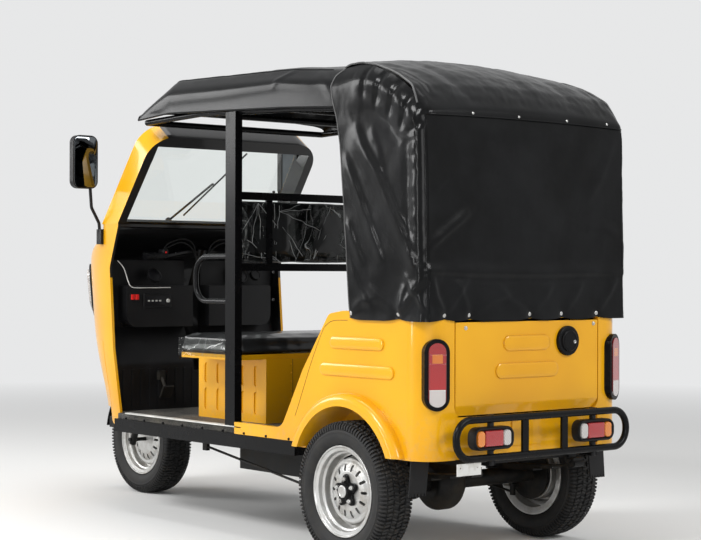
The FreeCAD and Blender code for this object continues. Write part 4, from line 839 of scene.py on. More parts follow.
class Chart:
    """Heights over flattened cloth, in millimetres, gathered fold by fold."""

    def __init__(self, along, up):
        self.along = along
        self.up = up
        self.height = np.zeros_like(along)

    def near(self, path):
        """For each point: how far from the path, on which side of it, and how far along, 0 to 1."""
        best = np.full_like(self.along, 1e9)
        side = np.zeros_like(self.along)
        share = np.zeros_like(self.along)
        spans = list(zip(path, path[1:]))
        for k, ((a0, b0), (a1, b1)) in enumerate(spans):
            da, db = a1 - a0, b1 - b0
            long = math.hypot(da, db)
            t = np.clip(((self.along - a0) * da + (self.up - b0) * db) / long ** 2, 0.0, 1.0)
            off_a, off_b = self.along - a0 - t * da, self.up - b0 - t * db
            away = np.hypot(off_a, off_b)
            closer = away < best
            best = np.where(closer, away, best)
            side = np.where(closer, np.sign(off_a * db - off_b * da), side)
            share = np.where(closer, (k + t) / len(spans), share)
        return best, side, share

    def fold(self, path, height, width, lee=None, fade=0.25):
        """A ridge along the path, or a groove below zero; its lee side may fall off more steeply."""
        away, side, share = self.near(path)
        spread = np.where(side > 0, width, lee or width)
        ends = rise(np.minimum(share, 1 - share), fade)
        self.height += height * np.exp(-(away / spread) ** 2) * np.sqrt(ends + 0.02)

    def folds(self, table):
        for row in table:
            self.fold(*row)

    def dimple(self, along, up, depth, width):
        away = np.hypot(self.along - along, self.up - up)
        self.height -= depth * np.exp(-(away / width) ** 2)

    def ripples(self, seed, height, length, turn=0.0, squeeze=1.0, where=1.0):
        """Soft random waves; squeeze above 1 draws them out along the turned direction."""
        dice = np.random.default_rng(seed)
        total = np.zeros_like(self.along)
        for _ in range(RIPPLE_WAVES):
            angle = turn + dice.normal(0.0, 1.0 / squeeze)
            wave = 2 * math.pi / (length * dice.uniform(0.6, 1.7))
            bend = 0.9 * np.sin((self.along * math.cos(angle) + self.up * math.sin(angle)) * wave * 0.41
                                + dice.uniform(0, 6.3))
            total += np.sin((self.up * math.cos(angle) - self.along * math.sin(angle)) * wave
                            + bend + dice.uniform(0, 6.3))
        self.height += height * total / 3.0 * where


def grid_normals(grid):
    down = np.gradient(grid, axis=0)
    across = np.gradient(grid, axis=1)
    normal = np.cross(across, down)
    return normal / np.linalg.norm(normal, axis=2, keepdims=True)


def length_of(line):
    return float(np.linalg.norm(np.diff(line, axis=0), axis=1).sum())


def area_of(grid):
    """The area of a grid of points, from the two diagonals of each cell."""
    one = grid[1:, 1:] - grid[:-1, :-1]
    other = grid[:-1, 1:] - grid[1:, :-1]
    return float(np.linalg.norm(np.cross(one, other), axis=2).sum() / 2)


def sheet_faces(rows, columns):
    """Faces of a thin sheet: the front grid, the back grid behind it, and the rim between them."""
    count = rows * columns
    faces = []
    for r in range(rows - 1):
        for c in range(columns - 1):
            a, b = r * columns + c, r * columns + c + 1
            d, e = b + columns, a + columns
            faces.append((a, b, d, e))
            faces.append((e + count, d + count, b + count, a + count))
    rim = list(range(columns)) + [r * columns + columns - 1 for r in range(1, rows)]
    rim += [(rows - 1) * columns + c for c in range(columns - 2, -1, -1)]
    rim += [r * columns for r in range(rows - 2, 0, -1)]
    for a, b in zip(rim, rim[1:] + rim[:1]):
        faces.append((b, a, a + count, b + count))
    return faces


def add_cloth(name, grid, heights, node):
    """Lays one sheet on a grid of points in metres, raised along its normals."""
    normals = grid_normals(grid)
    if float((normals * (grid - grid.mean(axis=(0, 1)))).sum()) < 0:
        normals = -normals
    front = grid + normals * heights[:, :, None] * MM
    back = front - normals * CLOTH_THICKNESS
    rows, columns = grid.shape[:2]
    verts = np.concatenate([front.reshape(-1, 3), back.reshape(-1, 3)]).tolist()
    faces = sheet_faces(rows, columns)
    mesh = bpy.data.meshes.new(name)
    mesh.from_pydata(verts, [], faces)
    mesh.polygons.foreach_set("use_smooth", [True] * len(faces))
    mesh.materials.append(VINYL)
    shaped = bmesh.new()
    shaped.from_mesh(mesh)
    bmesh.ops.recalc_face_normals(shaped, faces=shaped.faces)
    for edge in shaped.edges:
        edge.smooth = edge.calc_face_angle(0.0) < 1.0
    shaped.to_mesh(mesh)
    shaped.free()
    piece = add_object(name, mesh)
    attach(piece, "root")
    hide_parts(node)
    wide = max(length_of(front[r]) for r in range(0, rows, 8))
    long = max(length_of(front[:, c]) for c in range(0, columns, 8))
    area = area_of(front)
    print(name, "measures", round(wide, 3), "x", round(long, 3), "m as laid, smooth area",
          round(area_of(grid), 3), "m2, with its folds", round(area, 3), "m2,", 2 * len(faces), "triangles")
    return front


def on_vehicle(x, y, z):
    """A place in metres, from millimetres measured from the rear axle and the ground."""
    return Vector((x * MM, AXLE_Y + y * MM, z * MM))


def grid_on_vehicle(points):
    """The same for a whole grid of points."""
    grid = points * MM
    grid[:, :, 1] += AXLE_Y
    return grid


print("cloth tools ready")

# %% [markdown]
# ## The curtain's grid
# The curtain is one strip that starts at the left door post, turns the back corner, crosses the
# back and comes forward on the right. Its columns keep the same share of each stretch at every
# height, and its rows run from the hem to the hood's seam. So the grid follows the leaning
# front edge and the sloping seam without a single cut.

# %% Curtain grid
CURTAIN_HALF = 514.0
CORNER_R = 27.0
REAR_START = 435.0
# height of the front edge's points and how far back they are
FRONT_EDGE_Z = (872, 1205, 1507, 1603, 1680, 1726, 1765, 1790)
FRONT_EDGE_Y = (13, -14, -44, -62, -86, -97, -84, -42)
# how far back, and how high the hood's seam is there
SEAM_LINE_Y = (-100, -40, 40, 120, 201, 260, 308, 345, 380, 404, 440)
SEAM_LINE_Z = (1786, 1788, 1797, 1788, 1762, 1738, 1710, 1681, 1642, 1606, 1604)
HEM_LINE = 879.0
# how far below the seam the side starts to roll in
ROLL_BAND = 92.0
SNAPS = (4, 279, 501, 624, 921, 1088, 1271)
SNAP_LINE = 893.0
ROWS = 104
SIDE_COLUMNS = 60
CORNER_COLUMNS = 9
REAR_COLUMNS = 130
CORNER_RUN = 45.0
REAR_TOP = 1607.0
BACK_HALF = 487.0
ALL_ROUND = 2 * REAR_START + 2 * BACK_HALF
# where the two rows of stitching run down the back corner
CORNER_STITCHES = (418.0, 428.0)


def back_of(z):
    return 418.0 - 13.0 * (z - HEM_LINE) / 720.0


def side_x(y, z):
    """How far out the side is: upright, swelling a little, then rolling in to the seam."""
    seam = np.interp(y, SEAM_LINE_Y, SEAM_LINE_Z)
    roll = rise(z - (seam - ROLL_BAND), ROLL_BAND)
    swell = 4.0 * np.exp(-((z - (seam - 110.0)) / 90.0) ** 2)
    return CURTAIN_HALF + swell - 29.0 * roll ** 2.6


def curtain_column(kind, share):
    """One column, from the hem up: points in millimetres and the flattened distance round."""
    top = REAR_TOP
    spots = []
    rounds = []
    if kind == "side":
        y_guess = -40 + share * 430.0
        top = float(np.interp(y_guess, SEAM_LINE_Y, SEAM_LINE_Z))
    for r in range(ROWS):
        z = HEM_LINE + (top - HEM_LINE) * r / (ROWS - 1)
        back = back_of(z)
        if kind == "side":
            front = float(np.interp(z, FRONT_EDGE_Z, FRONT_EDGE_Y))
            y = front + share * (back - CORNER_R - front)
            x = float(side_x(y, z))
            rounds.append(y)
        elif kind == "corner":
            turn = share * math.pi / 2
            edge = float(side_x(back - CORNER_R, z))
            x = edge - CORNER_R + math.cos(turn) * CORNER_R
            y = back - CORNER_R + math.sin(turn) * CORNER_R
            rounds.append(REAR_START - CORNER_RUN + share * CORNER_RUN)
        else:
            edge = float(side_x(back - CORNER_R, z)) - CORNER_R
            x = edge * (1 - 2 * share)
            y = back
            rounds.append(REAR_START + share * 2 * BACK_HALF)
        spots.append((x, y, z))
    return spots, rounds


def curtain_grid():
    left = [("side", k / SIDE_COLUMNS) for k in range(SIDE_COLUMNS)]
    left += [("corner", k / CORNER_COLUMNS) for k in range(CORNER_COLUMNS)]
    middle = [("rear", k / REAR_COLUMNS) for k in range(REAR_COLUMNS + 1)]
    columns = [curtain_column(*entry) for entry in left + middle]
    points = np.array([spots for spots, _ in columns])
    rounds = np.array([values for _, values in columns])
    mirrored = points[:len(left)][::-1] * np.array([-1.0, 1.0, 1.0])
    far = ALL_ROUND - rounds[:len(left)][::-1]
    points = np.concatenate([points, mirrored]).transpose(1, 0, 2)
    rounds = np.concatenate([rounds, far]).transpose(1, 0)
    return grid_on_vehicle(points), rounds, points[:, :, 2]


CURTAIN_GRID, CURTAIN_ROUND, CURTAIN_UP = curtain_grid()
print("curtain grid", CURTAIN_GRID.shape[:2])

# %% [markdown]
# ## The curtain's folds
# Distances go round the curtain from the left side to the back, so 435 is the left corner and
# 1409 the right one. A long fold runs from the top front down to the corner, where a crease
# then crosses the back above the hem. Under the seam the cloth bulges in a roll that short
# creases cross, and a second roll stands upright ahead of the corner. Snaps pull the cloth in,
# and the hem hangs down between them.

# %% Curtain folds
# path as distance round and height, ridge height, width on each side
CURTAIN_FOLDS = (
    (((40, 1580), (88, 1496), (168, 1398), (262, 1245), (330, 1150), (373, 1058), (500, 1043)),
     12.0, 42.0, 20.0),
    (((-20, 1475), (60, 1330), (170, 1130), (200, 1080)), 8.0, 30.0, 15.0),
    (((0, 1235), (40, 1150), (92, 1070)), 6.0, 22.0, 12.0),
    (((-6, 1120), (60, 1000), (150, 900)), 3.5, 24.0, 12.0),
    (((128, 1560), (170, 1480), (190, 1400)), 3.5, 30.0, 16.0),
    (((395, 1052), (600, 1044), (950, 1041), (1200, 1046), (1470, 1044)), 6.5, 9.0, 30.0),
    (((470, 1032), (700, 1018), (1000, 1016), (1380, 1024)), -2.6, 12.0, 12.0),
    (((430, 1128), (530, 1195), (628, 1257)), 8.0, 13.0, 28.0),
    (((445, 1320), (520, 1372), (610, 1400)), 2.4, 12.0, 30.0),
    (((1216, 1208), (1314, 1214), (1400, 1190)), 3.0, 12.0, 24.0),
    (((600, 1560), (800, 1535), (1050, 1548)), 2.0, 22.0, 44.0),
    (((720, 1500), (900, 1330), (1080, 1180)), 1.8, 40.0, 60.0),
    (((1380, 1560), (1300, 1400), (1220, 1300)), 2.4, 30.0, 18.0),
    (((279, 892), (350, 962), (425, 1036)), 9.0, 13.0, 26.0),
    (((310, 1040), (380, 965), (440, 890)), 6.0, 13.0, 22.0),
    (((500, 895), (462, 960), (440, 1030)), 8.0, 12.0, 24.0),
    (((284, 893), (300, 960), (330, 1010)), 5.0, 12.0, 20.0),
    (((501, 893), (560, 960), (620, 1030)), 4.0, 12.0, 24.0),
    (((624, 893), (590, 960), (560, 1028)), 3.2, 12.0, 22.0),
    (((624, 893), (740, 950), (860, 985)), 3.2, 12.0, 26.0),
    (((921, 893), (820, 945), (760, 1000)), 2.8, 12.0, 26.0),
    (((921, 893), (1000, 955), (1040, 1010)), 2.8, 12.0, 24.0),
    (((1088, 893), (1160, 960), (1200, 1020)), 3.0, 12.0, 24.0),
    (((1271, 893), (1340, 965), (1390, 1030)), 3.6, 12.0, 24.0),
    (((4, 893), (80, 935), (170, 948)), 3.6, 11.0, 24.0),
    (((279, 893), (200, 950), (120, 1000)), 3.6, 11.0, 24.0),
)
# the padded roll under the seam, the hollow below it and the upright roll ahead of the corner
ROLLS = (
    (((30, 1740), (120, 1731), (201, 1704), (270, 1664), (328, 1612), (366, 1556)), 13.0, 36.0, 40.0),
    (((60, 1630), (150, 1608), (220, 1565), (290, 1490)), -6.0, 34.0, 34.0),
    (((374, 1600), (376, 1400), (378, 1250), (380, 1120), (388, 1062)), 9.0, 32.0, 44.0),
    (((322, 1510), (322, 1400), (326, 1260), (334, 1140)), -4.0, 20.0, 20.0),
)
# the middle of the upright puckers ahead of each corner, and between which heights they run
PUCKER_AHEAD = 62
PUCKER_LOW, PUCKER_HIGH = 1050.0, 1600.0
PUCKER_WIDTH = 40.0
PUCKER_FADE = 60.0
# the puffs of the hem between snaps, and how far it hangs down there
HEM_TOP, HEM_BAND, HEM_PUFF, PUFF_RUN = 905.0, 26.0, 3.5, 62.0
SAG_TOP, SAG_BAND, SAG_DEPTH, SAG_RUN = 930.0, 50.0, 8.0, 75.0
# short creases that cross the roll
CREASES = (
    (((104, 1792), (100, 1740), (80, 1672)), -5.0, 9.0, 15.0),
    (((196, 1764), (182, 1712), (146, 1640)), -7.0, 9.0, 18.0),
    (((282, 1722), (258, 1668), (216, 1596)), -7.0, 9.0, 18.0),
    (((346, 1664), (322, 1614), (284, 1546)), -7.0, 9.0, 16.0),
    (((420, 1575), (380, 1545), (330, 1530)), -6.0, 10.0, 14.0),
)


def curtain_heights():
    chart = Chart(CURTAIN_ROUND, CURTAIN_UP)
    chart.folds(CURTAIN_FOLDS)
    for path, height, width, lee in ROLLS + CREASES:
        chart.fold(path, height, width, lee, 0.30)
        chart.fold([(ALL_ROUND - a, b) for a, b in path], height, width, lee, 0.30)
    for path, height, width, lee in CURTAIN_FOLDS[:3]:
        chart.fold([(ALL_ROUND - a - 12, b + 26) for a, b in path[:-1]], height * 0.8, width, lee)
    for corner in (REAR_START - PUCKER_AHEAD, ALL_ROUND - REAR_START + PUCKER_AHEAD):
        column = np.exp(-((chart.along - corner) / PUCKER_WIDTH) ** 2)
        column = column * rise(chart.up - PUCKER_LOW, PUCKER_FADE)
        column = column * rise(PUCKER_HIGH - chart.up, PUCKER_FADE)
        chart.ripples(int(corner), 0.35, 34.0, 0.0, 12.0, column)
        chart.ripples(int(corner) + 1, 0.8, 64.0, 0.15, 9.0, column)
    chart.ripples(7, 0.45, 110.0, 0.9, 1.8)
    chart.ripples(8, 0.10, 30.0, -0.4, 1.6)
    for snap in SNAPS:
        chart.dimple(snap, SNAP_LINE, 4.5, 13.0)
        chart.dimple(snap, SNAP_LINE, 2.5, 34.0)
    hem = rise(HEM_TOP - chart.up, HEM_BAND)
    nearest = np.min([np.abs(chart.along - snap) for snap in SNAPS], axis=0)
    chart.height += hem * (HEM_PUFF * np.sin(rise(nearest, PUFF_RUN) * math.pi / 2) - 1.0)
    return chart.height, nearest


def hang_curtain():
    heights, nearest = curtain_heights()
    grid = CURTAIN_GRID.copy()
    low = rise(SAG_TOP - CURTAIN_UP, SAG_BAND)
    sag = SAG_DEPTH * np.sin(rise(nearest, SAG_RUN) * math.pi / 2) - 3.0
    grid[:, :, 2] -= low * sag * MM
    return add_cloth("curtain_cloth", grid, heights, "rear_curtain")


CURTAIN = hang_curtain()

# %% [markdown]
# ## Hood and front roof
# Both are arched sheets, made row by row: at each step back, a soft section goes up one side,
# over the crown and down the other. The hood ends in a short upright lip above the curtain.

# %% Hood grid
# how far back, seam height, crown height, half width at the seam
HOOD_STATIONS = (
    (-84, 1784, 1829, 464), (-56, 1794, 1836, 477), (-20, 1800, 1838, 485),
    (45, 1800, 1833, 486), (120, 1786, 1813, 486),
    (206, 1759, 1783, 488), (260, 1735, 1757, 491), (326, 1698, 1716, 496), (368, 1656, 1674, 502),
    (394, 1624, 1641, 507), (405, 1608, 1628, 509), (409, 1603, 1618, 510), (410, 1597, 1606, 510),
    (410.5, 1590, 1597, 510),
)
HOOD_ROWS = 84
HOOD_COLUMNS = 140
HOOD_CORNER = 34.0
HOOD_LIFT = 2.0


def soften(line, passes):
    """Evens out a row of numbers, keeping its ends."""
    line = line.copy()
    for _ in range(passes):
        line[1:-1] = (line[:-2] + 2 * line[1:-1] + line[2:]) / 4
    return line


def hood_grid():
    table = np.array(HOOD_STATIONS, float)
    steps = np.concatenate([[0], np.cumsum(np.hypot(np.diff(table[:, 0]), np.diff(table[:, 2])))])
    even = np.linspace(0, steps[-1], HOOD_ROWS)
    back, seam, crown, half = (soften(np.interp(even, steps, table[:, k]), 3) for k in range(4))
    share = np.linspace(1, -1, HOOD_COLUMNS)
    x = half[:, None] * share[None, :]
    z = seam[:, None] + (crown - seam)[:, None] * (1 - np.abs(share[None, :]) ** 2.2)
    corner = rise(np.abs(x) - (half[:, None] - HOOD_CORNER), HOOD_CORNER)
    y = back[:, None] - 24.0 * corner ** 2.2 * rise(back[:, None] - 330.0, 70.0)
    front = 26.0 * (1 - np.abs(share[None, :]) ** 2) * rise(60.0 - back[:, None], 130.0)
    return grid_on_vehicle(np.stack([x, y + front, z], axis=2)), x, back[:, None] + 0 * x


# path as distance across and back, ridge height, width
HOOD_FOLDS = (
    (((283, 90), (283, 250), (276, 370)), -6.0, 30.0),
    (((-283, 120), (-272, 260), (-268, 360)), -4.0, 30.0),
    (((470, 60), (380, 200), (330, 330)), 2.6, 24.0),
    (((-470, 40), (-390, 190), (-340, 340)), 2.4, 24.0),
    (((420, -20), (150, 10), (-180, 0)), 2.0, 18.0),
    (((120, 60), (90, 210), (110, 370)), 2.2, 30.0),
    (((-80, 40), (-120, 200), (-110, 360)), 2.0, 30.0),
    (((480, 150), (440, 260), (420, 370)), 2.8, 14.0),
    (((480, 220), (455, 300), (450, 380)), -2.4, 10.0),
    (((-480, 180), (-445, 280), (-430, 372)), 2.6, 14.0),
)


def lay_hood():
    grid, across, back = hood_grid()
    chart = Chart(across, back)
    chart.folds(HOOD_FOLDS)
    chart.ripples(21, 0.9, 120.0, 1.2, 2.0)
    chart.ripples(22, 0.35, 38.0, 1.4, 1.6)
    still = rise(505.0 - np.abs(across), 30.0, 0.15)
    still = still * rise(402.0 - back, 20.0, 0.1)
    return add_cloth("hood_cloth", grid, chart.height * still + HOOD_LIFT, "roof_cover_rear")


HOOD = lay_hood()

# %% Front roof grid
# how far back, hem height, shoulder height, crown height
ROOF_STATIONS = (
    (-1422, 1692, 1722, 1738), (-1392, 1693, 1742, 1762), (-1290, 1699, 1800, 1823),
    (-1197, 1705, 1846, 1867), (-1050, 1699, 1843, 1866), (-406, 1671, 1827, 1850),
    (-60, 1648, 1790, 1826), (0, 1640, 1784, 1818),
)
ROOF_ROWS = 170
ROOF_COLUMNS = 130
ROOF_SIDE = 508.0
ROOF_SHOULDER = 455.0


def roof_section(hem, shoulder, crown):
    """Points across the roof at one row, from the left hem over the crown to the right."""
    knee = shoulder - 0.35 * (shoulder - hem)
    left = [(ROOF_SIDE, hem), (ROOF_SIDE - 3, knee), (ROOF_SHOULDER, shoulder)]
    top = [(ROOF_SHOULDER * s, shoulder + (crown - shoulder) * (1 - s * s)) for s in np.linspace(0.92, 0, 14)]
    half = np.array(left + top, float)
    run = np.concatenate([[0], np.cumsum(np.hypot(*np.diff(half, axis=0).T))])
    even = np.linspace(0, run[-1], ROOF_COLUMNS // 2)
    x = soften(np.interp(even, run, half[:, 0]), 4)
    z = soften(np.interp(even, run, half[:, 1]), 4)
    return np.concatenate([np.stack([x, z], 1), np.stack([-x[::-1], z[::-1]], 1)[1:]])


def roof_grid():
    table = np.array(ROOF_STATIONS, float)
    even = np.linspace(table[0, 0], table[-1, 0], ROOF_ROWS)
    hem, shoulder, crown = (soften(np.interp(even, table[:, 0], table[:, k]), 10) for k in (1, 2, 3))
    sections = np.array([roof_section(*row) for row in zip(hem, shoulder, crown)])
    back = even[:, None] + 0 * sections[:, :, 0]
    across, up = sections[:, :, 0], sections[:, :, 1]
    return grid_on_vehicle(np.stack([across, back, up], axis=2)), back, up, across


# path as distance back and height on the side band, ridge height, width on each side
BAND_FOLDS = (
    (((-1390, 1712), (-1180, 1768), (-800, 1762), (-420, 1768), (-120, 1726)), 5.0, 34.0, 24.0),
    (((-470, 1762), (-420, 1790), (-360, 1822)), 3.4, 12.0, 9.0),
    (((-230, 1800), (-150, 1752), (-90, 1690)), 3.0, 22.0, 14.0),
)
# path as distance back and across the top, ridge height, width
TOP_FOLDS = (
    (((-1300, 300), (-1100, 180), (-900, 60)), 2.2, 40.0),
    (((-760, -400), (-700, 0), (-740, 380)), -3.0, 46.0),
    (((-420, -430), (-400, 0), (-420, 430)), 3.0, 26.0),
    (((-1190, -440), (-1200, 0), (-1190, 440)), 3.0, 22.0),
    (((-300, 400), (-200, 250), (-90, 60)), 2.6, 26.0),
    (((-330, -380), (-220, -220), (-100, -60)), 2.6, 26.0),
)


def lay_roof():
    grid, back, up, across = roof_grid()
    band = Chart(back, up)
    band.folds(BAND_FOLDS)
    side = rise(np.abs(across) - 440.0, 40.0)
    top = Chart(back, across)
    top.folds(TOP_FOLDS)
    top.ripples(31, 0.8, 130.0, 0.3, 2.0)
    top.ripples(32, 0.3, 40.0, 0.2, 1.6)
    heights = band.height * side + top.height * (1 - side)
    edge = rise(up - 1702.0 + (back + 1197) * 0.045, 14.0, 0.1)
    return add_cloth("roof_cloth", grid, heights * edge, "roof_cover_front")


ROOF = lay_roof()

# %% [markdown]
# ## Piping, snaps and rivets
# Each seam is finished with a thin round piping. It is drawn from the very grid points of the
# cloth, so it lies on the cloth wherever the folds take it. A press stud holds the hem at each
# point where the folds start.

# %% Piping and studs
PIPE_R = 0.0027
# grid rows and columns that the seams follow
MIDDLE_ROW = 60
REAR_COLUMN = 150
HOOD_SEAM_ROWS = 76
WELT_COLUMN = 17
WELT_ROWS = range(4, 152, 2)
ROOF_HEM_ROWS = range(0, 160, 2)


def corner_seams(build):
    """Two rows of stitching run down each back corner."""
    row = CURTAIN_ROUND[MIDDLE_ROW]
    for at in CORNER_STITCHES + tuple(ALL_ROUND - at for at in CORNER_STITCHES):
        column = int(np.abs(row - at).argmin())
        build.tube([Vector(p) for p in CURTAIN[2:-4, column]], 0.0011, 6)


def on_side(points, side):
    """The points of the left side, or the same on the right where side is -1."""
    return [Vector((p.x * side, p.y, p.z)) for p in points]


def pipe_canopy():
    build = Build()
    pale = Build()
    corner_seams(build)
    front_edge = [Vector(p) for p in CURTAIN[:, 0]]
    seam = [Vector(p) for p in HOOD[:HOOD_SEAM_ROWS, 0]]
    for side in (1, -1):
        pale.tube(on_side(front_edge, side), PIPE_R, 8)
        pale.tube(on_side(seam, side), PIPE_R + 0.0008, 8)
        welt = WELT_COLUMN if side > 0 else -1 - WELT_COLUMN
        build.tube([Vector(ROOF[r, welt]) for r in WELT_ROWS], PIPE_R, 8)
        hem = 0 if side > 0 else -1
        build.tube([Vector(ROOF[r, hem]) for r in ROOF_HEM_ROWS], PIPE_R + 0.001, 8)
    build.tube([Vector(p) for p in HOOD[0, ::2]], PIPE_R, 8)
    build.tube([Vector(p) for p in HOOD[-1, 1:-1:2]], PIPE_R, 8)
    build.tube([Vector(p) for p in ROOF[0, ::2]], PIPE_R + 0.001, 8)
    build.piece("roof_piping", [VINYL])
    pale.piece("seam_piping", [PIPING])


def add_studs():
    build = Build()
    snap_row = np.abs(CURTAIN_UP[:, REAR_COLUMN] - SNAP_LINE).argmin()
    for snap in SNAPS:
        column = np.abs(CURTAIN_ROUND[snap_row] - snap).argmin()
        column = min(max(column, 1), CURTAIN.shape[1] - 2)
        spot = Vector(CURTAIN[snap_row, column])
        across = Vector(CURTAIN[snap_row, column + 1] - CURTAIN[snap_row, column - 1]).normalized()
        up = Vector(CURTAIN[snap_row + 1, column] - CURTAIN[snap_row - 1, column]).normalized()
        out = across.cross(up)
        if out.dot(spot - Vector((0, AXLE_Y, 0.9))) < 0:
            out = -out
        build.turned([(-0.001, 0.0002), (-0.001, 0.0085), (0.0012, 0.0082), (0.0026, 0.006), (0.0030, 0.003),
                      (0.0022, 0.0002)], spot, out, 20)
    for x in (283, 56, -193, -410):
        build.turned([(-0.001, 0.0002), (-0.001, 0.0052), (0.0014, 0.0044), (0.002, 0.0002)],
                     on_vehicle(x, 412.4, 1605), Y, 16)
    build.piece("canopy_studs", [SILVER])


PIPING = grained_plastic("piping", (0.075, 0.075, 0.075))
pipe_canopy()
add_studs()

# %% [markdown]
# ## Lamps at the back
# A tail lamp has one moulded lens in three colours: red, an amber part near the top, and clear
# below. One material holds them, because the lens is one smooth solid: height decides the
# colour, and a fine groove in the bump marks each join. The bumper's lamps are different: three
# separate lenses sit in a shallow tray, so those are built.

# %% Tail lamp lens
LENS_LOW, LENS_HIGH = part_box("tail_lamp_lenses")
RED = (0.42, 0.006, 0.008)
AMBER = (0.80, 0.22, 0.012)
MILKY = (0.62, 0.60, 0.58)
LENS_MIDDLE_X = 0.448
LENS_MIDDLE_Y = AXLE_Y + 0.402


def tail_lens():
    lens = Finish("tail_lens", Coat_Weight=1.0, Coat_Roughness=0.03, IOR=1.49)
    up = lens.axis("Z")
    tall = LENS_HIGH.z - LENS_LOW.z
    clear_top = LENS_LOW.z + tall * 0.27
    amber_low = LENS_LOW.z + tall * 0.68
    amber_high = LENS_LOW.z + tall * 0.82
    clear = lens.steps(up, clear_top + 0.0006, clear_top - 0.0006)
    amber = lens.steps(up, amber_low, amber_low + 0.001) * lens.steps(up, amber_high + 0.001, amber_high)
    side = lens.axis("X")
    middle = (side.sum("ABSOLUTE", side) - LENS_MIDDLE_X) * 0.927 - (lens.axis("Y") - LENS_MIDDLE_Y) * 0.375
    apart = middle.sum("ABSOLUTE", middle)
    amber = amber * lens.steps(apart, 0.0205, 0.0175)
    rim = lens.steps(apart, 0.0290, 0.0300)
    colour = lens.mix(clear, lens.mix(amber, RED, AMBER), MILKY)
    across = lens.wave((lens.axis("X") - lens.axis("Y")) * 520.0)
    grid = across * lens.wave(up * 640.0)
    # the prism grid and a darkening toward the lens's top are mixed toward dark red: painted shade
    fall = lens.steps(up, clear_top, LENS_HIGH.z) * 0.25
    shaded = lens.mix(lens.steps(grid, -0.5, 0.9) * 0.55 + fall, colour, (0.12, 0.010, 0.010))
    lens.set(Base_Color=lens.mix(rim, shaded, (0.16, 0.004, 0.005)))
    lens.set(Roughness=0.10 + clear * 0.06)
    joins = 0.0
    for level in (clear_top, amber_low, amber_high):
        joins = joins + lens.steps(up, level - 0.0022, level) * lens.steps(up, level + 0.0022, level)
    lens.bump(grid * 0.25 - joins * 2.0, 0.5, 0.0012)
    return lens.material


dress("tail_lamp_lenses", tail_lens())
print("tail lamp lens", round(LENS_LOW.z, 3), "to", round(LENS_HIGH.z, 3))

# %% Bumper lamps
LAMP_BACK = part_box("bumper_lamps")[1].y
LAMP_X = 0.260
LAMP_WIDE = 0.192
LAMP_TALL = 0.080
LAMP_UP = 0.4675
# finish, width, and distance from the lamp's middle toward the vehicle's side
LAMP_LENSES = ((1, 0.036, 0.063), (2, 0.086, 0.000), (3, 0.036, -0.063))


def bumper_lamp(build, side):
    base = Vector((side * LAMP_X, LAMP_BACK - 0.044, LAMP_UP))
    build.boss(base, -X, Z, LAMP_WIDE, LAMP_TALL, 0.032,
               ((-0.006, 0.0), (0.0, 0.006), (0.0, 0.038), (-0.003, 0.043), (-0.006, 0.0435),
                (-0.009, 0.040), (-0.010, 0.034)), steps=8)
    bracket = [Vector((side * LAMP_X, LAMP_BACK - 0.024, level)) for level in (0.372, 0.55)]
    build.tube(bracket, 0.012, 8)
    for wear, wide, shift in LAMP_LENSES:
        spot = Vector((side * (LAMP_X + shift), LAMP_BACK - 0.010, LAMP_UP))
        bend = 0.004 if wear == 2 else 0.015
        build.boss(spot, -X, Z, wide, 0.056, bend,
                   ((0.0, 0.0), (0.0, 0.006), (-0.0020, 0.0088), (-0.009, 0.0098)), wear=wear, steps=8)


def add_bumper_lamps():
    build = Build()
    for side in (1, -1):
        bumper_lamp(build, side)
    clear = lens("white_lens", (0.60, 0.57, 0.55))
    piece = build.piece("bumper_lamp_lenses", [PLASTIC, AMBER_LENS, RED_LENS, clear])
    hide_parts("bumper_lamps")


add_bumper_lamps()

# %% [markdown]
# ## Lid, lock and bolts
# The lid's round cap carries a ring and a small bright lock. Bolt heads sit where the real body
# is screwed together: at the lid's hinge ends, on the bumper's posts, and along the sill. The
# twelve on the sill itself stand 1.6 mm off it, a known fault.

# %% Lock and bolts
CAP_X, CAP_Z = -0.196, 0.795
CAP_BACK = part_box("lock_cap")[1].y


def dress_lock():
    build = Build()
    face = Vector((CAP_X, CAP_BACK, CAP_Z))
    build.turned([(-0.004, 0.0335), (0.0008, 0.0330), (0.0008, 0.0300), (-0.004, 0.0295)], face, Y, 48)
    key = face + Vector((-0.022, 0.0, -0.004))
    build.turned([(-0.003, 0.0002), (-0.003, 0.0070), (0.0010, 0.0066), (0.0014, 0.0052), (0.0008, 0.0044),
                  (0.0008, 0.0002)], key, Y, 24, wear=1)
    slot = [key + Vector((0, 0.0009, dz)) for dz in (-0.0036, 0.0036)]
    build.tube(slot, 0.0008, 8, wear=2)
    piece = build.piece("lock_details", [BLACK, SILVER, RUBBER], "tailgate")


def bolt_head(build, spot, out, size, wear=0):
    build.turned([(-0.002, 0.0002), (-0.002, size * 1.35), (0.0012, size * 1.3), (0.0018, size),
                  (0.0018, 0.0002)], spot, out, 20, wear=wear)
    hex_nut(build, spot + out * 0.0016, out, size, 0.0038, wear)


# body, place across the lid or back along the side, height, how far out, width, height of the rib
RIBS = (
    ("root", 43, 789, 510, 0.303, 0.044), ("root", 41, 690, 510, 0.416, 0.046),
    ("tailgate", 13, 792, 415, 0.234, 0.055), ("tailgate", 10, 694, 415, 0.317, 0.055),
)


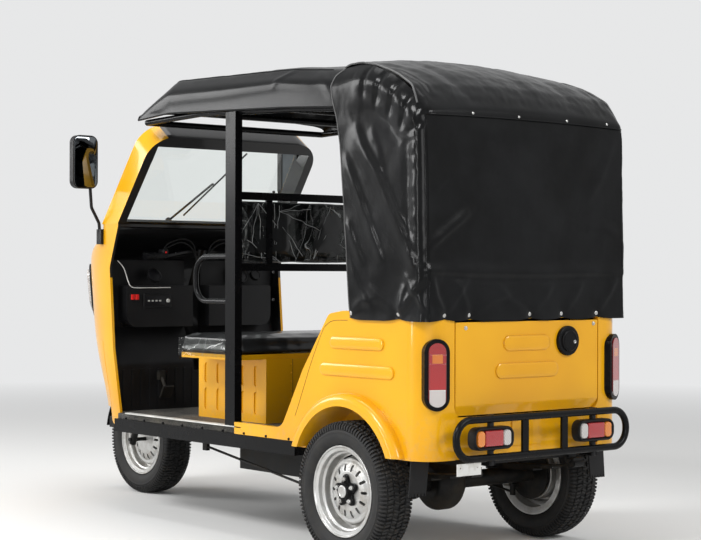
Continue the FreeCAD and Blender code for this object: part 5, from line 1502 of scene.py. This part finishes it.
def dome_ribs():
    """Crowns the pressed ribs, which a press never leaves with a flat top."""
    crown = ((-0.0005, -0.002), (-0.0008, 0.0006), (-0.0030, 0.0018), (-0.0075, 0.0030), (-0.0130, 0.0037))
    sides = Build()
    lid = Build()
    for body, at, up, out, wide, tall in RIBS:
        corner = tall / 2 - 0.001
        if body == "tailgate":
            lid.boss(on_vehicle(at, out, up), -X, Z, wide - 0.001, tall - 0.001, corner, crown, steps=8)
        else:
            for side in (1, -1):
                sides.boss(on_vehicle(side * out, at, up), Y * side, Z, wide - 0.001, tall - 0.001,
                           corner, crown, steps=8)
    sides.piece("side_rib_crowns", [PAINT])
    lid.piece("lid_rib_crowns", [PAINT], "tailgate")


SILL_BOLTS = 9
SILL_BOLT_STEP = 0.145


def add_bolts():
    build = Build()
    lid = Build()
    for x, z in ((314, 850), (-340, 856)):
        bolt_head(lid, on_vehicle(x, 410, z), Y, 0.0058)
    lid.piece("lid_bolts", [SILVER], "tailgate")
    for x in (262, -262, 84, -84):
        bolt_head(build, on_vehicle(x, 497.0, 430 if abs(x) > 100 else 408), Y, 0.0048)
    for k in range(SILL_BOLTS):
        for side in (1, -1):
            spot = Vector((side * 0.5045, AXLE_Y - 1.52 + k * SILL_BOLT_STEP, 0.414))
            bolt_head(build, spot, X * side, 0.0042)
    build.piece("body_bolts", [BLACK])


dress_lock()
add_bolts()
dome_ribs()
print("lock and bolts ready")

# %% [markdown]
# ## Padded seats
# A seat pad is foam in a sewn vinyl cover: flat underneath, crowned above, and pulled in where a
# seam runs across. Each pad starts from its solid, cut into fine cells. The cover is then blown
# up as cloth with a little air pressure, held at its base and its seams, and the movement is
# capped so that the pad keeps its size, and a faint crease pattern is added by formula.

# %% Cushion tools
from mathutils import noise

CELL = 0.012
PUFF_FRAMES = 16
PUFF_PRESSURE = 4.0
# distances over which the cover comes free above its base and beside a seam
BASE_HOLD = (0.004, 0.030)
SEAM_HOLD = (0.003, 0.045)
SEAM_FREEDOM = 0.10
PAD_CREASE = 0.0016
# how far the cover sinks before it is blown up, as a share of how far it may move
PAD_SINK = 0.45


def cells_of(node, name):
    """A copy of a solid, remeshed into even cells."""
    source = bpy.data.objects[node]
    piece = add_object(name, source.data.copy())
    piece.matrix_world = source.matrix_world.copy()
    remesh = piece.modifiers.new("cells", "REMESH")
    remesh.mode = "VOXEL"
    remesh.voxel_size = CELL
    apply_modifiers(piece)
    piece.data.transform(piece.matrix_world)
    piece.matrix_world = Matrix.Identity(4)
    return piece


def apply_modifiers(piece):
    graph = bpy.context.evaluated_depsgraph_get()
    shaped = bpy.data.meshes.new_from_object(piece.evaluated_get(graph))
    piece.modifiers.clear()
    piece.data = shaped


def hold(piece, low, high, down, seams):
    """How freely each vertex may move: not at the base, nor on a seam."""
    free = []
    for vertex in piece.data.vertices:
        spot = vertex.co
        base = (spot[down[0]] - low[down[0]]) if down[1] > 0 else (high[down[0]] - spot[down[0]])
        freedom = softly(base, *BASE_HOLD)
        for axis, at in seams:
            freedom = min(freedom, SEAM_FREEDOM + 0.9 * softly(abs(spot[axis] - at), *SEAM_HOLD))
        free.append(freedom)
    return free


def blow_up(piece, free):
    """Runs the cloth with air pressure and returns where each vertex goes."""
    pinned = piece.vertex_groups.new(name="held")
    for index, freedom in enumerate(free):
        pinned.add([index], max(0.0, 1.0 - freedom * 1.6), "REPLACE")
    cloth = piece.modifiers.new("air", "CLOTH")
    settings = cloth.settings
    settings.quality = 5
    settings.mass = 0.3
    settings.tension_stiffness = 18
    settings.compression_stiffness = 14
    settings.bending_stiffness = 0.6
    settings.use_pressure = True
    settings.uniform_pressure_force = PUFF_PRESSURE
    settings.vertex_group_mass = "held"
    settings.effector_weights.gravity = 0.0
    cloth.point_cache.frame_start = 1
    cloth.point_cache.frame_end = PUFF_FRAMES
    for number in range(1, PUFF_FRAMES + 1):
        bpy.context.scene.frame_set(number)
    graph = bpy.context.evaluated_depsgraph_get()
    shaped = piece.evaluated_get(graph).to_mesh()
    moved = [vertex.co.copy() for vertex in shaped.vertices]
    piece.evaluated_get(graph).to_mesh_clear()
    piece.modifiers.clear()
    piece.vertex_groups.clear()
    bpy.context.scene.frame_set(1)
    return moved


def pad_up(node, name, cap, down, seams, fill):
    """Makes one crowned pad from its solid."""
    low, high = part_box(node)
    piece = cells_of(node, name)
    free = hold(piece, low, high, down, seams)
    home = [vertex.co.copy() for vertex in piece.data.vertices]
    moved = blow_up(piece, free)
    normals = [vertex.normal.copy() for vertex in piece.data.vertices]
    for vertex, start, goal, freedom, normal in zip(piece.data.vertices, home, moved, free, normals):
        shift = goal - start
        if shift.length > cap:
            shift = shift.normalized() * cap
        crease = noise.ridged_multi_fractal(start * 9.0, 0.9, 2.0, 3, 1.0, 2.0) - 1.0
        lift = normal * (crease * PAD_CREASE * freedom)
        vertex.co = start + shift * freedom + lift - normal * cap * PAD_SINK
    smooth = piece.modifiers.new("finer", "SUBSURF")
    smooth.levels = 1
    apply_modifiers(piece)
    piece.data.materials.clear()
    piece.data.materials.append(SEAT)
    for face in piece.data.polygons:
        face.use_smooth = True
        face.material_index = 0
    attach(piece, "root")
    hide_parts(node)
    print(name, len(piece.data.polygons), "faces")


print("cushion tools ready")

# %% Cushions
# solid, piece, how far the cover may move, base axis and side, seams (axis and place), fill
X_SEAMS = ((0, -0.150), (0, 0.150))
PADS = (
    ("driver_cushion", "driver_seat_pad", 0.010, (2, 1), (), 0.7),
    ("driver_backrest", "driver_back_pad", 0.010, (1, 1), ((0, -0.148), (0, 0.148)), 0.6),
    ("passenger_cushion", "passenger_seat_pad", 0.014, (2, 1), X_SEAMS, 0.7),
    ("passenger_backrest", "passenger_back_pad", 0.014, (1, -1),
     ((2, 0.860), (2, 0.990), (2, 1.110)), 0.6),
)
for row in PADS:
    pad_up(*row)

# %% [markdown]
# ## Clear film
# The seats of this vehicle are new and still in clear film, which is why they shine. The film is a
# thin crumpled sheet. Its material lets most light straight through, and keeps its gloss on the
# creases, where film turns white; that white is partly painted highlight as well.

# %% Film


def clear_film():
    film = Finish("clear_film", Roughness=0.08, Specular_IOR_Level=0.9)
    lines = 0.0
    for scale, thin in ((4.0, 0.005), (9.0, 0.005)):
        level = film.noise(scale, 1.0, 0.4, (1.0, 1.0, 0.6)) - 0.5
        lines = lines + film.steps(level.sum("ABSOLUTE", level), thin, 0.0)
    facing = film.node("ShaderNodeLayerWeight", {}, {"Blend": 0.30}, "Facing")
    through_film = film.node("ShaderNodeBsdfTransparent", {}, {"Color": (0.97, 0.98, 0.97)})
    # the crease lines get a pale colour: partly the film's whitening, partly painted highlight
    film.set(Base_Color=film.mix(lines, (0.010, 0.011, 0.011), (0.62, 0.64, 0.64)))
    film.cover(0.92 - facing * 0.30 - lines * 0.34, through_film)
    film.bump(film.noise(11.0, 2.0) * 1.0 + lines * 0.2, 0.6, 0.012)
    return film.material


FILM = clear_film()
FILM_THICKNESS = 0.0004
CRUMPLES = 26
CRUMPLE_HEIGHT = 0.0022
FILM_GAP = 0.0035
# pale grey of the crease ridges: partly the film's whitening, partly painted highlight
CREASE_WHITE_AND_HIGHLIGHT = grained_plastic("crease_white_and_highlight", (0.30, 0.31, 0.31))
film_dice = np.random.default_rng(5)


def film_sheet(name, corner, across, up, normal, columns, rows, pulls):
    """A crumpled film: pulls are points in 0..1 that creases run out from."""
    s, t = np.meshgrid(np.linspace(0, 1, columns), np.linspace(0, 1, rows))
    height = np.zeros_like(s)
    for ps, pt, amount, spokes in pulls:
        angle = np.arctan2(t - pt, (s - ps) * across.length / up.length)
        away = np.hypot((s - ps) * across.length, (t - pt) * up.length)
        height += amount * np.abs(np.sin(angle * spokes + 3 * s)) * np.exp(-away / 0.22)
    for _ in range(CRUMPLES):
        ax, ay = film_dice.uniform(0, 1, 2)
        turn = film_dice.uniform(0, math.pi)
        off = (s - ax) * across.length * math.cos(turn) + (t - ay) * up.length * math.sin(turn)
        run = (s - ax) * across.length * -math.sin(turn) + (t - ay) * up.length * math.cos(turn)
        tall = film_dice.uniform(0.3, 1.0) * CRUMPLE_HEIGHT
        height += tall * np.exp(-np.abs(off) / 0.007 - (run / 0.09) ** 2)
    points = (np.array(corner)[None, None, :] + s[:, :, None] * np.array(across)
              + t[:, :, None] * np.array(up)
              + np.array(normal) * (FILM_GAP + height[:, :, None]))
    back = points - np.array(normal) * FILM_THICKNESS
    verts = np.concatenate([points.reshape(-1, 3), back.reshape(-1, 3)]).tolist()
    build = Build()
    made = [build.mesh.verts.new(v) for v in verts]
    for face in sheet_faces(rows, columns):
        build.mesh.faces.new([made[i] for i in face])
    piece = build.piece(name, [FILM], sharp=80.0)
    wide = max(length_of(points[r]) for r in range(0, rows, 6))
    long = max(length_of(points[:, c]) for c in range(0, columns, 6))
    print(name, "measures", round(wide, 3), "x", round(long, 3), "m as laid")
    return points


# where creases start on the backrest's film and where they run to: 0..1 across and up
FANS = (
    ((0.10, 0.97), ((0.02, 0.55), (0.06, 0.30), (0.12, 0.05), (0.20, 0.62))),
    ((0.20, 0.03), ((0.19, 0.97), (0.22, 0.95), (0.04, 0.35), (0.03, 0.12))),
    ((0.22, 0.85), ((0.34, 0.97), (0.40, 0.90), (0.46, 0.55))),
    ((0.24, 0.60), ((0.36, 0.10), (0.32, 0.05))),
    ((0.42, 0.05), ((0.52, 0.95), (0.47, 0.60), (0.50, 0.45))),
    ((0.74, 0.06), ((0.66, 0.95), (0.72, 0.97), (0.78, 0.92), (0.62, 0.15), (0.58, 0.30), (0.93, 0.70),
                    (0.86, 0.35))),
    ((0.80, 0.90), ((0.95, 0.97), (0.90, 0.75))),
)


def crease_fans(film):
    """Sharp creases in stretched film are straight and white: thin ridges that follow the film. Their pale
    grey is partly the film's whitening, partly painted highlight.
    """
    build = Build()
    rows, columns = film.shape[:2]
    for (s0, t0), ends in FANS:
        for s1, t1 in ends:
            steps = max(4, int(40 * math.hypot(s1 - s0, (t1 - t0) * 0.3)))
            line = []
            for share in np.linspace(0, 1, steps):
                row = (t0 + (t1 - t0) * share) * (rows - 1)
                column = (s0 + (s1 - s0) * share) * (columns - 1)
                line.append(Vector(film[int(round(row)), int(round(column))]) + Y * 0.0006)
            build.tube(line, 0.0010, 6)
    build.piece("film_creases", [CREASE_WHITE_AND_HIGHLIGHT])
    print("film creases:", sum(len(ends) for _, ends in FANS))


def wrap_seats():
    low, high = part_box("driver_backrest")
    film = film_sheet(
        "backrest_film", (high.x - 0.004, high.y - 0.004, low.z + 0.004),
        Vector((-(high.x - low.x) + 0.008, 0, 0)), Vector((0, 0, high.z - low.z - 0.008)), Y, 110, 40,
        ((0.02, 0.5, 0.007, 9), (0.0, 0.95, 0.006, 7), (0.98, 0.4, 0.006, 8), (0.5, 1.0, 0.004, 6)))
    low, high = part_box("driver_cushion")
    film_sheet("seat_film", (high.x - 0.006, low.y - 0.004, low.z - 0.030),
               Vector((-(high.x - low.x) + 0.012, 0, 0)), Vector((0, 0, high.z - low.z + 0.015)), -Y, 110, 24,
               ((0.03, 0.2, 0.006, 7), (0.5, 0.9, 0.005, 8), (0.97, 0.3, 0.006, 7)))
    film_sheet("seat_side_film", (high.x + 0.002, low.y + 0.006, low.z - 0.012),
               Vector((0, high.y - low.y - 0.012, 0)), Vector((0, 0, high.z - low.z - 0.002)), X, 60, 24,
               ((0.1, 0.2, 0.005, 7), (0.9, 0.9, 0.005, 8)))
    return film


crease_fans(wrap_seats())

# %% [markdown]
# ## The cab
# The moulding behind the nose carries a red double switch, a plain radio front and a pale lip
# along its pocket. Above it the handlebar has switch blocks and a few control cables, which turn
# with it. All of it is small, so it is built from bosses and tubes placed by measured points.
# Known faults: the three dial rings hang in front of their surface, and the four cables hang
# free but are plain tubes, not cords of a real length.

# %% Console and dials
CONSOLE_Y = -1690.0
RADIO_KEYS = 4
RADIO_KEY_STEP = 0.020
LIP_PATH = ((432, -1712, 1096), (404, -1704, 1062), (390, -1690, 1004), (374, -1687.5, 980),
            (330, -1687, 975), (169, -1687, 976))
WHITE_PLASTIC = grained_plastic("pale_plastic", (0.42, 0.42, 0.40))
RED_PLASTIC = grained_plastic("red_plastic", (0.55, 0.015, 0.012))
GLOSS = grained_plastic("gloss_panel", (0.004, 0.004, 0.005))
FACE_ACROSS = -X
# place across, and radius
DIALS = ((-235, 0.040), (-325, 0.026), (235, 0.034))
DIAL_FACES = Vector((0, 0.88, 0.47))


def dress_console():
    build = Build()
    switch = on_vehicle(357, CONSOLE_Y, 934)
    build.boss(switch, FACE_ACROSS, Z, 0.050, 0.034, 0.004,
               ((0, -0.001), (0, 0.003), (-0.0015, 0.0042), (-0.004, 0.0042)))
    for dx in (-0.011, 0.011):
        build.boss(switch + Vector((dx, 0.003, 0)), FACE_ACROSS, Z, 0.019, 0.024, 0.003,
                   ((0, -0.001), (0, 0.0035), (-0.002, 0.0050)), wear=1)
    radio = on_vehicle(239, CONSOLE_Y, 917)
    build.boss(radio, FACE_ACROSS, Z, 0.146, 0.066, 0.007,
               ((0, -0.001), (0, 0.004), (-0.002, 0.006), (-0.005, 0.006), (-0.006, 0.0045)))
    build.boss(radio + Vector((0.012, 0.0042, 0)), FACE_ACROSS, Z, 0.100, 0.044, 0.004,
               ((0, 0.0), (0, 0.001), (-0.001, 0.0014)), wear=2)
    for k in range(RADIO_KEYS):
        key = radio + Vector((0.046 - k * RADIO_KEY_STEP, 0.0054, 0.0))
        build.boss(key, FACE_ACROSS, Z, 0.011, 0.007, 0.002,
                   ((0, 0.0), (0, 0.0010), (-0.001, 0.0016)), wear=3, steps=3)
    build.turned([(0.0, 0.0002), (0.0, 0.0085), (0.007, 0.008), (0.008, 0.007), (0.008, 0.0002)],
                 radio + Vector((-0.055, 0.004, 0.0)), Y, 24, wear=3)
    build.tube(through([on_vehicle(*p) for p in LIP_PATH], 8), 0.0022, 8, wear=3)
    for x, size in DIALS:
        spot = on_vehicle(x, -1718, 1033)
        build.turned([(-0.010, 0.0002), (-0.010, size), (0.006, size), (0.007, size * 0.92),
                      (0.004, size * 0.86), (0.003, 0.0002)], spot, DIAL_FACES, 40)
        build.turned([(0.0032, 0.0002), (0.0032, size * 0.84), (0.0042, size * 0.80), (0.0048, 0.0002)],
                     spot, DIAL_FACES, 40, wear=2)
    piece = build.piece("console_details", [PLASTIC, RED_PLASTIC, GLOSS, WHITE_PLASTIC])


dress_console()

# %% Handlebar grips and cables
BAR_LOW, BAR_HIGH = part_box("handlebar")
GRIP_Y, GRIP_Z = -1655.0, 1124.0
CABLE_R = 0.0034


def dress_handlebar():
    build = Build()
    for side in (1, -1):
        start = on_vehicle(side * 222, GRIP_Y - 14, GRIP_Z + 6)
        for k, lift in enumerate((34, 50)):
            path = through([start + Vector((0, 0, 0.010)), on_vehicle(side * 190, GRIP_Y - 18, GRIP_Z + lift),
                            on_vehicle(side * (120 - k * 14), GRIP_Y - 22, GRIP_Z + lift + 22),
                            on_vehicle(side * (58 - k * 8), GRIP_Y - 26, GRIP_Z + lift - 4),
                            on_vehicle(side * 27, GRIP_Y - 34, GRIP_Z - 24)], 8)
            build.tube(path, CABLE_R, 8)
        build.boss(start + Vector((0, 0.006, 0.0)), FACE_ACROSS, Z, 0.030, 0.036, 0.006,
                   ((-0.001, -0.022), (0, -0.018), (0, 0.016), (-0.003, 0.020)))
        build.boss(start + Vector((0, 0.024, 0.004)), FACE_ACROSS, Z, 0.010, 0.008, 0.003,
                   ((0, 0), (0, 0.003), (-0.001, 0.004)), wear=1, steps=3)
    piece = build.piece("handlebar_details", [PLASTIC, RED_PLASTIC], "steering")


dress_handlebar()
print("handlebar box", [round(v, 3) for v in (*BAR_LOW, *BAR_HIGH)])

# %% [markdown]
# ## Small body details
# A fine groove runs inside the side panel's front edge, a pale strip edges the cab floor, and a
# riveted seam joins the seat box's back. Each mirror gets its glass. Known faults: the post
# bolts stand behind the door posts, not on them, the six outer rivets touch nothing, and the
# seam's rivets stand 1.5 mm off the box.

# %% Panel lines, strip, rivets and mirror glass
PANEL_LINE = ((-322, 505), (-300, 548), (-224, 709), (-160, 822), (-132, 852), (-90, 868), (-10, 871))

# heights of the bolts meant for the posts; rivets of the seat box's seam and beside it
POST_BOLTS_Z = (1352, 1045, 940)
RIVETS_Y = -782.5
SEAM_RIVETS, SEAM_STEP = 6, 36
OUTER_RIVETS, OUTER_STEP = 3, 80


def dress_body():
    build = Build()
    for side in (1, -1):
        line = through([on_vehicle(side * 505.1, y, z) for y, z in PANEL_LINE], 6)
        build.tube(line, 0.0009, 6)
        strip = on_vehicle(side * 490, -1100, 433)
        build.boss(strip, Y * side, Vector((side, 0, 0)), 0.86, 0.030, 0.003,
                   ((0, 0.0), (0, -0.0040), (-0.001, -0.0050)), wear=1, steps=3)
        for z in POST_BOLTS_Z:
            bolt_head(build, on_vehicle(side * 503, -462, z), X * side, 0.0042)
    for k in range(SEAM_RIVETS):
        bolt_head(build, on_vehicle(172, RIVETS_Y, 490 + k * SEAM_STEP), Y, 0.0026, 2)
    seam = [on_vehicle(165, -782.4, z) for z in (434, 690)]
    build.tube(seam, 0.0008, 6)
    for x in (430, -430):
        for k in range(OUTER_RIVETS):
            bolt_head(build, on_vehicle(x, RIVETS_Y, 490 + k * OUTER_STEP), Y, 0.0026, 2)
    piece = build.piece("body_details", [RUBBER, WHITE_PLASTIC, PAINT])


def mirror_glass():
    mirror = Finish("mirror_glass", Metallic=1.0, Roughness=0.03)
    haze = mirror.steps(mirror.noise(14.0, 4.0), 0.4, 0.8)
    mirror.set(Base_Color=mirror.mix(haze, (0.16, 0.17, 0.18), (0.11, 0.12, 0.13)))
    return mirror.material


def dress_mirrors():
    build = Build()
    for side in (1, -1):
        spot = on_vehicle(side * 568, -1758, 1529)
        build.boss(spot, FACE_ACROSS, Z, 0.112, 0.222, 0.024,
                   ((0, -0.001), (0, 0.0008), (-0.001, 0.0012)), steps=8)
    build.piece("mirror_faces", [mirror_glass()])


dress_body()
dress_mirrors()
print("body details ready")

# %% [markdown]
# ## A panel over the slit in the nose
# The nose's solid has a fault: the cut that opens it toward the cab also takes away a narrow
# wedge of wall low on each side. The solid is left as it is. A lapped panel covers each slit
# here. Its shape is found by feeling for the nose's outer surface along level lines, and the
# surface on both sides of the slit is then joined straight across.

# %% Side panels of the nose
PANEL_LAP = 0.009
PANEL_COLUMNS = 10
PANEL_HALF_THICKNESS = 0.0009
# where the surface is felt for: from how far out, how deep, and at which places back and up
FEEL_FROM = 0.70
FEEL_REACH = 0.34
FEEL_YS = np.arange(-1.02, -0.70, 0.002)
FEEL_ZS = np.arange(0.37, 0.90, 0.008)


def feel_nose(side, y, z):
    """How far out the nose's skin is at this place, or None where there is no skin."""
    nose = bpy.data.objects["front_cowl"]
    into = nose.matrix_world.inverted()
    start = into @ Vector((side * FEEL_FROM, y, z))
    ahead = (into.to_3x3() @ Vector((-side, 0, 0))).normalized()
    hit, place, _, _ = nose.ray_cast(start, ahead, distance=FEEL_REACH)
    return abs((nose.matrix_world @ place).x) if hit else None


def panel_row(side, z):
    """The skin across the slit at one height, with a lap on each side of it."""
    felt = [(y, feel_nose(side, y, z)) for y in FEEL_YS]
    solid = [k for k, (_, x) in enumerate(felt) if x is not None]
    gaps = [(a, b) for a, b in zip(solid, solid[1:]) if b - a > 1]
    if not gaps:
        return None, 0.0
    a, b = max(gaps, key=lambda pair: pair[1] - pair[0])
    ys = np.array([felt[k][0] for k in solid])
    xs = np.array([felt[k][1] for k in solid])
    across = np.linspace(felt[a][0] - PANEL_LAP, felt[b][0] + PANEL_LAP, PANEL_COLUMNS)
    row = [Vector((side * float(np.interp(y, ys, xs)), float(y), z)) for y in across]
    return row, felt[b][0] - felt[a][0]


def cover_slits():
    build = Build()
    for side in (1, -1):
        rows = [panel_row(side, float(z)) for z in FEEL_ZS]
        widths = [wide for row, wide in rows if row]
        rows = [row for row, _ in rows if row]
        if len(rows) < 2:
            continue
        print("slit on side", side, "rows", len(rows), "widest mm", round(max(widths) * 1000, 1),
              "from z", round(rows[0][0].z, 3), "to", round(rows[-1][0].z, 3))
        skins = []
        for rise in (PANEL_HALF_THICKNESS, -PANEL_HALF_THICKNESS):
            skins.append([[build.mesh.verts.new(p + X * (side * rise)) for p in row] for row in rows])
        outer, inner = skins
        last = PANEL_COLUMNS - 1
        for r in range(len(rows) - 1):
            for c in range(last):
                build.mesh.faces.new((outer[r][c], outer[r][c + 1], outer[r + 1][c + 1], outer[r + 1][c]))
                build.mesh.faces.new((inner[r + 1][c], inner[r + 1][c + 1], inner[r][c + 1], inner[r][c]))
            for c in (0, last):
                build.mesh.faces.new((outer[r][c], outer[r + 1][c], inner[r + 1][c], inner[r][c]))
        for r in (0, len(rows) - 1):
            for c in range(last):
                build.mesh.faces.new((outer[r][c], inner[r][c], inner[r][c + 1], outer[r][c + 1]))
    build.piece("nose_side_panels", [PAINT])


cover_slits()
